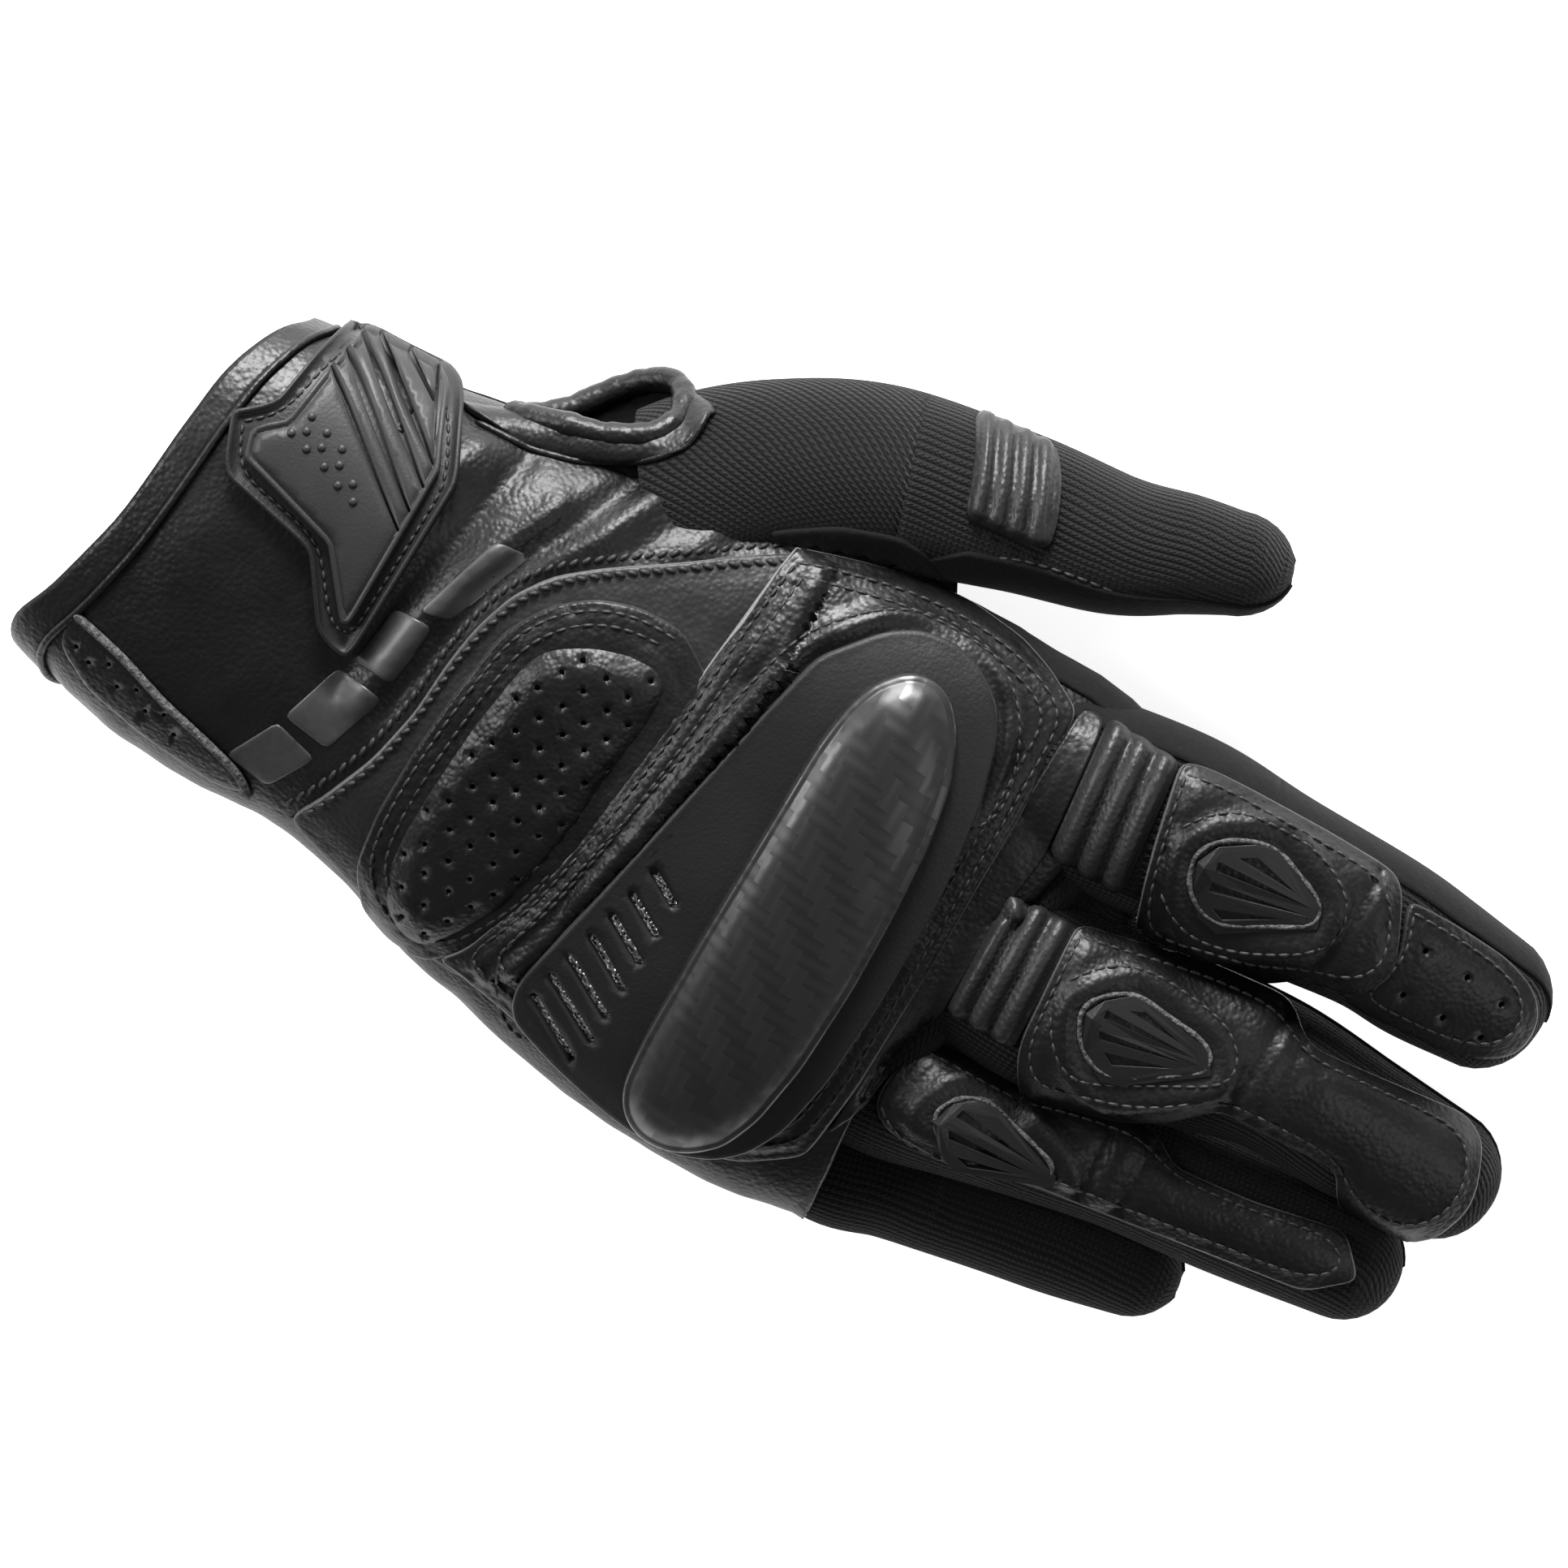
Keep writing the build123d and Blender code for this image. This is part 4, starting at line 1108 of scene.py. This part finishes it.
def finger_height(guard, ridges):
    """Leather that swells in a ring round its protector and is sewn down along the joint."""
    guard_line = even_curve(guard, OUTLINE_STEP, rounding=1)

    def height(points, d):
        h = cut_leather(1.2, 0.8, puff=1.3, width=3.6, rows=(1.5,), depth=0.5)(points, d)
        near = np.where(inside(points, guard_line), 0, loop_distance(points, guard_line))
        h += 1.5 * np.exp(-((near - 3.0) / 1.6) ** 2) * smooth_step((d - 1.4) / 1.6)
        h -= 0.5 * np.exp(-((near - 5.2) / 0.7) ** 2) * smooth_step((d - 1.2) / 1.2)
        for start, end, amount, spread in ridges:
            h += amount * np.exp(-(line_distance(points, (start, end)) / spread) ** 2) * smooth_step(d / 2)
        return h
    return height


raw_hide, tree, shader, place = fabric("raw_hide_edge")
fibres = texture(tree, place, "ShaderNodeTexNoise", in_Scale=1400.0, in_Detail=4.0)
tint(tree, shader, map_range(tree, fibres.outputs["Fac"], 0.35, 0.65, 0.0, 1.0), 0.02, 0.12)
shader.inputs["Roughness"].default_value = 0.9
bumped(tree, shader, fibres.outputs["Fac"], 0.0006)


def face_outwards(piece):
    work = bmesh.new()
    work.from_mesh(piece.data)
    bmesh.ops.recalc_face_normals(work, faces=work.faces)
    work.to_mesh(piece.data)
    work.free()


def cord_along(name, line3d, radius, material, rider, nodes=(), closed=False, sides=8, pleats=0.0):
    """A round roll of leather along points in space."""
    line = [Vector(p) for p in line3d]
    points, faces = [], []
    n = len(line)
    side = None
    for i, p in enumerate(line):
        a = line[i - 1] if closed or i else line[0]
        b = line[(i + 1) % n] if closed or i < n - 1 else line[-1]
        forward = (b - a).normalized()
        side = forward.orthogonal() if side is None else side - forward * side.dot(forward)
        side.normalize()
        up = forward.cross(side)
        size = radius * (1 + pleats * noise.noise(p / 2.2))
        size *= 1.0 if closed or 0 < i < n - 1 else 0.35
        for k in range(sides):
            angle = 2 * math.pi * k / sides
            points.append(p + (side * math.cos(angle) + up * math.sin(angle)) * size)
    for i in range(n if closed else n - 1):
        for k in range(sides):
            j = (i + 1) % n
            faces.append((i * sides + k, i * sides + (k + 1) % sides, j * sides + (k + 1) % sides, j * sides
                          + k))
    if not closed:
        faces.append(tuple(reversed(range(sides))))
        faces.append(tuple((n - 1) * sides + k for k in range(sides)))
    piece = own_mesh(name, [tuple(p) for p in points], faces)
    face_outwards(piece)
    return dress(piece, material, rider, nodes)


def along_pattern(line, surface, lift, closed=False):
    """A line in pattern coordinates, laid on a surface and raised a little."""
    laid = [surface.lay(*p) for p in even_curve(line, 1.0, closed, 6)]
    return [point + normal * lift for point, normal in laid]


BLOCK_FOOT, BLOCK_SHOULDER, BLOCK_BEVEL = 3.0, 4.6, 0.22
protector_rubber = moulded("protector_rubber", 0.008, 0.012, 0.42, 1500.0, 0.00006)


def faceted_block(name, outline, ridge, wedges, target, rider, nodes):
    """A hard block with flat facets between its foot, its shoulder and a ridge (x, v, height), and
    tapering wedge cuts; its edges are eased by a narrow bevel."""
    loop = np.array(outline, float)
    loop = loop if signed_area(loop) > 0 else loop[::-1]
    middle = loop.mean(axis=0)
    shoulder = middle + (loop - middle) * 0.84
    ridge = np.array(ridge, float)
    n = len(loop)
    flat = np.vstack([loop, shoulder, ridge[:, :2]])
    heights = np.concatenate([np.full(n, BLOCK_FOOT), np.full(n, BLOCK_SHOULDER), ridge[:, 2]])
    edges = [(i, (i + 1) % n) for i in range(n)] + [(n + i, n + (i + 1) % n) for i in range(n)]
    edges += [(2 * n + i, 2 * n + i + 1) for i in range(len(ridge) - 1)]
    coarse = geometry.delaunay_2d_cdt([Vector(q) for q in flat], edges, [], 0, 1e-4)[2]

    def height_at(q):
        for corners in coarse:
            weights = poly_3d_calc([Vector((*flat[i], 0)) for i in corners], Vector((*q, 0)))
            if min(weights) > -1e-5:
                return sum(w * heights[i] for w, i in zip(weights, corners))
        return BLOCK_FOOT

    fine_flat = [tuple(q) for q in flat]
    for wedge_points in wedges:
        start = len(fine_flat)
        fine_flat += wedge_points
        edges += [(start + i, start + (i + 1) % len(wedge_points)) for i in range(len(wedge_points))]
    found = geometry.delaunay_2d_cdt([Vector(q) for q in fine_flat], edges, [], 0, 1e-4)
    flat_all = np.array([tuple(q) for q in found[0]])
    triangles = np.array([tuple(face) for face in found[2]])
    centres = flat_all[triangles].mean(axis=1)
    kept = inside(centres, loop)
    for wedge_points in wedges:
        kept &= ~inside(centres, np.array(wedge_points))
    triangles = triangles[kept]
    top, bottom = [], []
    for q in flat_all:
        point, normal = target.lay(*q)
        top.append(point + normal * height_at(q))
        bottom.append(point + normal * 0.4)
    shift = len(flat_all)
    used = {(int(t[i]), int(t[(i + 1) % 3])) for t in triangles for i in range(3)}
    faces = [tuple(int(v) for v in t) for t in triangles]
    faces += [tuple(int(v) + shift for v in reversed(t)) for t in triangles]
    faces += [(b, a, a + shift, b + shift) for a, b in used if (b, a) not in used]
    piece = own_mesh(name, [tuple(q) for q in top + bottom], faces)
    piece.data.polygons.foreach_set("use_smooth", [False] * len(piece.data.polygons))
    bpy.ops.object.select_all(action="DESELECT")
    bpy.context.view_layer.objects.active = piece
    piece.select_set(True)
    bevel = piece.modifiers.new("eased_edges", "BEVEL")
    bevel.width, bevel.segments = BLOCK_BEVEL * MM, 2
    bevel.limit_method, bevel.angle_limit = "ANGLE", math.radians(20)
    bpy.ops.object.modifier_apply(modifier=bevel.name)
    return dress(piece, protector_rubber, rider, nodes)


finger_panels = [
    ("index", INDEX_PANEL, INDEX_GUARD, index_skin, [((134, 33), (135.5, 55), -1.3, 0.8),
                                                            ((138, 34), (141.5, 52), -0.7, 0.7)],
     [(112.5, 40.2, 5.6), (118, 40.9, 6.6), (128.6, 43, 5.2)],
     [[(111.6, 41.3), (111.2, 42.6), (126.5, 43.6)], [(112.0, 39.4), (112.4, 38.2), (126.8, 42.2)],
      [(114.5, 36.2), (116.6, 35.6), (124.5, 39.9)], [(114.0, 44.6), (116.4, 45.9), (124, 44.6)]]),
    ("middle", MIDDLE_PANEL, MIDDLE_GUARD, middle_skin, [((133.5, 8), (134.5, 27), -1.3, 0.8),
                                                                ((138, 8.5), (139, 24), -0.9, 0.8),
                                                                ((142, 9), (143, 23.5), -0.6, 0.7)],
     [(108.5, 9.9, 5.6), (114.5, 10.6, 6.6), (126.2, 12.6, 5.2)],
     [[(108.2, 10.8), (108.0, 12.0), (124, 12.9)], [(108.6, 8.9), (109.4, 7.8), (124, 11.6)],
      [(111, 6.4), (113.2, 5.4), (121.6, 9.6)], [(111.2, 13.6), (113.6, 14.6), (121, 13.7)]])]
for finger, outline, guard, skin_surface, creases, ridge, wedges in finger_panels:
    leather_top = panel(finger + "_top_leather", outline, skin_surface, middle_bend[finger], black_leather,
                        (finger + "_foam",), finger_height(guard, creases), lift=0.4,
                        raw=0.8)
    on_top = Surface(FINGER_FORMS[finger], leather_top)
    stitches(finger + "_top_stitches", [inset_line(outline, 1.5)], on_top, middle_bend[finger])
    around = inset_line(guard, -5.2)
    panel_line = even_curve(outline, OUTLINE_STEP)
    keep = inside(around, panel_line) & (loop_distance(around, panel_line) > 2.6)
    stitches(finger + "_pad_stitches", [around[keep]], on_top, middle_bend[finger], pitch=2.2)
    faceted_block(finger + "_protector", guard, ridge, wedges, skin_surface, finger + "_base",
                  (finger + "_protector",))
    cord_along(finger + "_protector_rim",
               along_pattern(inset_line(guard, -0.5, 1), on_top, 0.1, closed=True), 0.42, raw_hide,
               finger + "_base", closed=True, pleats=0.5)

ring_rear = panel("ring_rear_leather", RING_REAR, ring_skin, root_bend["ring"], black_leather,
                  ("ring_foam",), finger_height(RING_GUARD, []), lift=0.4, raw=0.8)
ring_front = panel("ring_top_leather", RING_FRONT, ring_skin, middle_bend["ring"], black_leather,
                   (),
                   finger_height(RING_GUARD, [((120, -19), (119, -1), -1.2, 0.8), ((127, -17), (126.5, -1.5),
                                                                                   -1.0, 0.8),
                                              ((123.5, -18), (123, -1), 0.5, 1.2)]), lift=0.4, raw=0.8)
on_ring = Surface(FINGER_FORMS["ring"], ring_rear, ring_front)
stitches("ring_top_stitches", [inset_line(RING_FRONT, 1.5)], on_ring, middle_bend["ring"])
stitches("ring_rear_stitches",
         [[(86.5, -9.5), (95, -9), (103, -8.6)], [(103, -22.5), (95, -24), (88, -24), (85, -21)]], on_ring,
         root_bend["ring"])
faceted_block("ring_protector", RING_GUARD, [(96, -16.6, 5.4), (101.5, -16.2, 6.2), (113.4, -15.9, 4.9)],
              [[(96.2, -15.6), (96.6, -14.4), (111.4, -15.2)], [(96.2, -17.6), (97, -18.8), (111.4, -16.5)],
               [(99.4, -20.2), (101.6, -20.6), (108.4, -17.9)]],
              ring_skin, "ring_base", ("ring_protector",))
cord_along("ring_protector_rim", along_pattern(inset_line(RING_GUARD, -0.4, 1), on_ring, 0.1, closed=True),
           0.42, raw_hide, "ring_base", closed=True, pleats=0.5)

tip_holes = [round_hole(x, v, 0.55) for x, v in ((148, 47), (156, 46.8), (163, 46), (148.5, 39.5),
                                                 (156, 39.6), (163, 40))]
index_tip = panel("index_tip_leather", INDEX_TIP, index_skin, "index_tip", black_leather,
                  (), cut_leather(1.0, 0.7, puff=0.5, width=4, rows=(1.5,), depth=0.4), lift=0.3,
                  holes=tip_holes, raw=0.6)
stitches("index_tip_stitches", [inset_line(INDEX_TIP, 1.5)], Surface(FINGER_FORMS["index"], index_tip),
         "index_tip")

# ---------------------------------------------------------------------------------------------
# Thumb: four charcoal ribs over the joint, and a row of stitches along the suede.
thumb_skin = Surface(thumb_form)
THUMB_RIBS = [(39.5, 85.0), (43, 79), (45.6, 73), (46.8, 69.2), (54, 70), (61.6, 71.6), (60.5, 76),
              (58, 81.5), (54.0, 86.6), (47, 85.9)]


def thumb_rib_height(points, d):
    """Four ribs that bow forward as they cross the thumb."""
    bow = (points[:, 1] - 69.2) / 16.3
    rear = 46.8 - 7.3 * bow ** 1.25 * np.sign(bow)
    phase = (points[:, 0] - rear) / (14.6 / 4)
    return (0.6 + 1.7 * np.abs(np.sin(np.pi * phase)) ** 0.75) * (0.35 + 0.65 * smooth_step(d / 1.2))


panel("thumb_ribs", THUMB_RIBS, thumb_skin, thumb_bend, rib_leather, ("thumb_ribs",),
      thumb_rib_height, rounding=2, grid=0.75, raw=0.0, insets=(0.25, 0.6))
stitches("thumb_stitches", [[(50, 61.5), (54, 66), (60, 68.4), (70, 70.6), (77, 71.4), (83, 73.8)]],
         thumb_skin, thumb_bend)
panel("thumb_web_gusset", [(20, 50.2), (30, 57.2), (40, 61), (46, 60.6), (53, 58), (54.5, 56.5), (50, 53.8),
                                        (40, 51.5), (28, 49)], Surface(hand_form, thumb_form), "hand", suede,
      (),
                   cut_leather(0.5, 0.5), lift=0.15, raw=0.0)

# ---------------------------------------------------------------------------------------------
# Cuff: a turned hem round the mouth, a perforated side panel, four plain reflective flashes, and the
# rolled binding and collar of the wrist notch, which is the open end of the thumb's tube.
HEM_RINGS = 5
hem_rings = np.array(hand_form[:HEM_RINGS + 1])
hem = shell("cuff_hem", hem_rings, 0, None, lift=0.75, wall=1.5)
dress(hem, black_leather, "hand", ("cuff_hem",))
on_cuff = Surface(plain_hand_form)
hem_edge = hand_form[HEM_RINGS] + form_normals(hand_form)[HEM_RINGS] * 0.55
cord_along("hem_piping", even_curve(hem_edge, 1.5, True, 2), 0.7, black_leather, "hand",
           closed=True)
side_outline = [(-71, -19.6), (-60, -21.6), (-50, -24.2), (-40, -26.4), (-33, -28.2), (-30.5, -30.2),
                (-36, -31.6), (-50, -31), (-62, -29), (-70, -25)]
side_holes = [round_hole(x, v, 0.45) for x, v in ((-64, -25), (-58, -26), (-52, -27), (-46, -28),
                                                  (-61, -23.6), (-55, -24.8), (-49, -26), (-67, -23.8))]
panel("cuff_side_panel", side_outline, on_cuff, "hand", black_leather, (),
      cut_leather(0.8, 0.6), holes=side_holes, raw=0.0)
RAW_EDGE = [(-70.5, -19.4), (-60, -21.5), (-50, -24.5), (-40, -26.5), (-33, -28.2), (-30, -30.6)]
cord_along("cuff_raw_edge", along_pattern(RAW_EDGE, on_cuff, 0.7), 0.75, raw_hide, "hand")
reflective, tree, shader, place = fabric("reflective_flash")
beads = texture(tree, place, "ShaderNodeTexNoise", in_Scale=700.0, in_Detail=2.0)
tint(tree, shader, beads.outputs["Fac"], 0.030, 0.055)
shader.inputs["Roughness"].default_value = 0.42
for number, flash in enumerate(([(-37, -26.8), (-32.5, -18), (-24, -20), (-28.5, -27.8)],
                                [(-32, -16.5), (-28.5, -5), (-19.5, -6), (-23.2, -17.5)],
                                [(-27, -3), (-25.6, 8), (-18.6, 8.5), (-19.6, -3)],
                                [(-22, 9.5), (-17, 26), (-10.6, 26.8), (-16.6, 11)])):
    panel(f"reflective_flash_{number + 1}", flash, hand_skin, "hand", reflective, (),
          cut_leather(0.16, 0.2), lift=0.05, rounding=1, raw=0.0, insets=(0.3,), grid=1.0, sink=0.4)

NOTCH_LOOP = [(-24.5, 54.6, 26), (-18, 57.8, 29.4), (-10, 60.6, 30.2), (-4, 64.0, 29.2), (-1.4, 67.6, 26.5),
              (-2.2, 70.4, 21.5), (-5, 70.8, 17), (-9.2, 68.0, 14.4), (-13.4, 63.2, 13.8),
              (-18, 57.2, 15.6), (-22.5, 54.2, 20)]
lip_skin = Surface(hand_form, thumb_form)
skirt = [tuple(lip_skin.lay(*p)[0]) for p in ((-33, 42), (-20, 42.6), (-11.5, 45), (-4, 49.5), (2.2, 55),
                                              (2.6, 62))]
skirt += [(4, 62, 9), (-6, 54, 7), (-12, 49, 7), (-20, 47, 8), (-30, 49, 13)]


def matched(points, count):
    """The same number of points along each closed ring, corner matched to corner."""
    points = np.array(points, float)
    n = len(points)
    places = np.arange(count) * n / count
    base, t = np.floor(places).astype(int), (places % 1)[:, None]
    p0, p1, p2, p3 = (points[(base + k) % n] for k in (-1, 0, 1, 2))
    return 0.5 * (2 * p1 + (p2 - p0) * t + (2 * p0 - 5 * p1 + 4 * p2 - p3) * t * t + (3 * p1 - p0 - 3 * p2
                                                                                      + p3) * t ** 3)


NOTCH_COUNT = 88
rim_ring, skirt_ring = matched(NOTCH_LOOP, NOTCH_COUNT), matched(skirt, NOTCH_COUNT)
mouth_middle = rim_ring.mean(axis=0)
collar_rings = []
for t in np.linspace(0, 1, 9):
    ring = rim_ring * (1 - t) + skirt_ring * t
    swell = 1.3 * math.sin(math.pi * t)
    away = ring - mouth_middle
    away /= np.linalg.norm(away, axis=1)[:, None]
    ruffle = np.array([noise.noise(Vector(p) / 3.2) for p in ring])[:, None] * 0.5 * math.sin(math.pi * t)
    collar_rings.append(ring + away * (swell + ruffle))


def ring_strip(name, rings, wall, closed_end=False):
    """A loft through matched rings with a wall thickness, its free edges closed."""
    rings = np.array(rings)
    normals = form_normals(rings)
    rows, width = rings.shape[:2]
    points = np.vstack([rings.reshape(-1, 3), (rings - normals * wall).reshape(-1, 3)])
    shift = rows * width
    faces = []
    for i in range(rows - 1):
        for j in range(width):
            k = (j + 1) % width
            quad = (i * width + j, i * width + k, (i + 1) * width + k, (i + 1) * width + j)
            faces += [quad, tuple(v + shift for v in reversed(quad))]
    for j in range(width):
        k = (j + 1) % width
        faces.append((k, j, j + shift, k + shift))
        a, b = (rows - 1) * width + j, (rows - 1) * width + k
        if not closed_end:
            faces.append((a, b, b + shift, a + shift))
    if closed_end:
        faces.append(tuple((rows - 1) * width + j for j in range(width)))
        faces.append(tuple((rows - 1) * width + j + shift for j in reversed(range(width))))
    piece = own_mesh(name, points, faces)
    face_outwards(piece)
    return piece


dress(ring_strip("notch_collar", collar_rings, 0.9), black_leather, "hand")
cord_along("notch_binding", matched(NOTCH_LOOP, NOTCH_COUNT), 2.1, black_leather, "hand",
           ("notch_binding",), closed=True, sides=12, pleats=0.22)
# The notch's throat is a dark capped tube of lining, painted shade standing in for the inside of the opening.
throat_rings = []
for t in np.linspace(0, 1, 8):
    ring = mouth_middle + (rim_ring - mouth_middle) * (0.97 - 0.35 * t * t)
    throat_rings.append(ring + np.array((12.0, -12.0, 0.0)) * t)
dress(ring_strip("notch_throat", throat_rings, 0.5, closed_end=True), lining_painted_shade, "hand")
LIP_SEAM = [(-30, 41), (-20, 41.8), (-12, 44), (-5, 48), (0, 52.4), (2.2, 57), (1.6, 61)]
cord_along("notch_seam", along_pattern(LIP_SEAM, lip_skin, 0.25), 0.6, black_leather, "hand")

# ---------------------------------------------------------------------------------------------
# Closing strap: a leather tab from the thumb side over the wrist, with a moulded rubber badge sewn
# on its end and hook tape beneath; ridges and dots only, no lettering.
BADGE = [(-65, 22), (-62, 24.5), (-59.5, 27), (-58, 36), (-56.5, 41), (-55, 44.4), (-40, 45.4), (-35, 43.6),
         (-33, 41.4), (-28, 32.5), (-27, 30), (-27.5, 0), (-28, -2.5), (-31, -2.5), (-35, -1), (-38, 3),
         (-42.5, 9), (-45, 9.7), (-60, 12.5), (-62, 15)]
BADGE_PLATE = [(-60.6, 21), (-56.4, 25), (-55.2, 33), (-54, 38), (-52.6, 42.4), (-40, 43.0), (-36.5, 41.4),
               (-30.6, 30.5), (-30.5, 3), (-32, 2), (-40.5, 11.8), (-59, 16.5)]
badge_rubber = moulded("badge_rubber", 0.016, 0.022, 0.48, 1800.0, 0.00005)


def badge_base_height(points, d):
    flange = 1.5 * np.sqrt(1 - (1 - np.clip(d / 0.45, 0, 1)) ** 2)
    return flange - 1.0 * smooth_step((d - 0.9) / 0.35)


badge_base = panel("strap_badge", BADGE, on_cuff, "strap", guard_rubber, ("strap_badge",),
                   badge_base_height, lift=1.6, rounding=1, raw=0.0, insets=(0.25, 0.6, 1.0, 1.35),
                   grid=1.2, sink=1.4)
BADGE_GROOVES = [((-54.6, 34.8), (-31.6, 19.4)), ((-53.9, 38), (-31.6, 22.8)),
                 ((-52.9, 40.8), (-31.6, 27.0)), ((-50.6, 41.8), (-32.2, 30.6)),
                 ((-45, 42.0), (-37.2, 38.0)), ((-39.4, 42.2), (-34.0, 33.6))]
BADGE_DOTS = [(-53.5, 28), (-50, 27), (-46.5, 26), (-53, 25.5), (-49.5, 24.5), (-45.5, 23.5), (-55, 24),
              (-51.5, 23), (-47.5, 22), (-42, 22), (-44, 20.5), (-40.5, 19.5)]


def thin_slot(start, end, half):
    start, end = np.array(start, float), np.array(end, float)
    forward = (end - start) / np.linalg.norm(end - start)
    side = np.array((-forward[1], forward[0])) * half
    return [start - side, end - side, end + forward * half, end + side, start + side, start - forward * half]


def badge_plate_height(points, d):
    h = 1.9 * (0.35 + 0.65 * np.sqrt(1 - (1 - np.clip(d / 0.35, 0, 1)) ** 2))
    return h - 0.7 * np.exp(-((d - 1.15) / 0.2) ** 2)


badge_plate = panel("strap_badge_plate", BADGE_PLATE, on_cuff, "strap", badge_rubber, (),
                    badge_plate_height, lift=2.3, rounding=0, raw=0.0, insets=(0.15, 0.4, 0.9, 1.15, 1.4),
                    grid=1.2, sink=1.2, holes=[thin_slot(*groove, 0.26) for groove in BADGE_GROOVES])
on_plate = Surface(badge_plate)
dot_points, dot_faces = [], []
DOT_RINGS = ((0.75, -0.1), (0.68, 0.25), (0.42, 0.48))
for x, v in BADGE_DOTS:
    point, normal = on_plate.lay(x, v)
    side = normal.orthogonal().normalized()
    up = normal.cross(side)
    start = len(dot_points)
    for radius, rise in DOT_RINGS:
        for k in range(10):
            angle = k * math.pi / 5
            dot_points.append(point + normal * rise + (side * math.cos(angle) + up * math.sin(angle))
                              * radius)
    for ring in range(2):
        for k in range(10):
            a, b = start + ring * 10 + k, start + ring * 10 + (k + 1) % 10
            dot_faces.append((a, b, b + 10, a + 10))
    dot_faces += [tuple(start + 20 + k for k in range(10)), tuple(start + k for k in reversed(range(10)))]
dress(own_mesh("strap_badge_dots", dot_points, dot_faces), badge_rubber, "strap")
stitches("badge_stitches", [inset_line(BADGE, 1.9, 1)], Surface(hand_form, badge_base), "strap",
         pitch=2.0, thick=0.6)

# the tab goes on round the thumb side to its hinge; hook tape under the badge meets loop tape
STRAP_REAR, STRAP_FRONT = -56.0, -35.0
rear_ring, front_ring = ring_near(hand_form, STRAP_REAR), ring_near(hand_form, STRAP_FRONT)
tab = shell("strap_tab", hand_form, rear_ring, front_ring, low=2, high=56, lift=2.0, wall=1.3, columns=30)
dress(tab, black_leather, "strap", ("strap_tab",))
root = shell("strap_root", hand_form, rear_ring, front_ring, low=-22, high=4, lift=1.3, wall=1.0, columns=16)
dress(root, black_leather, "hand", ("strap_root",))
tape, tree, shader, place = fabric("hook_and_loop_tape")
loops = texture(tree, place, "ShaderNodeTexVoronoi", in_Scale=1100.0)
tint(tree, shader, loops.outputs["Distance"], 0.02, 0.006)
shader.inputs["Roughness"].default_value = 0.9
bumped(tree, shader, loops.outputs["Distance"], 0.0006)
HOOK_PAD = [(-58, 16.5), (-55, 40), (-38, 42), (-31.5, 28), (-31.5, 6), (-41, 13)]
panel("strap_hook_pad", HOOK_PAD, on_cuff, "strap", tape, ("strap_hook_pad",),
      cut_leather(0.9, 0.4), lift=0.75, raw=0.0, sink=0.1)
panel("strap_loop_patch", [(-61, 14), (-57, 36), (-38, 40), (-30, 28), (-29.5, 2), (-41, 10)], on_cuff,
      "hand", tape, ("strap_loop_patch",), cut_leather(0.45, 0.3), lift=0.05, raw=0.0,
      sink=0.4)

# ---------------------------------------------------------------------------------------------
# Palm heel: a second layer of suede sewn on where the hand rests; the glove stands on it.
heel_rear, heel_front = ring_near(hand_form, -14), ring_near(hand_form, 26)
heel = shell("palm_heel_patch", hand_form, heel_rear, heel_front, low=222, high=300, lift=1.4, wall=1.0,
             columns=48)
dress(heel, suede, "hand", ("palm_heel_patch",))
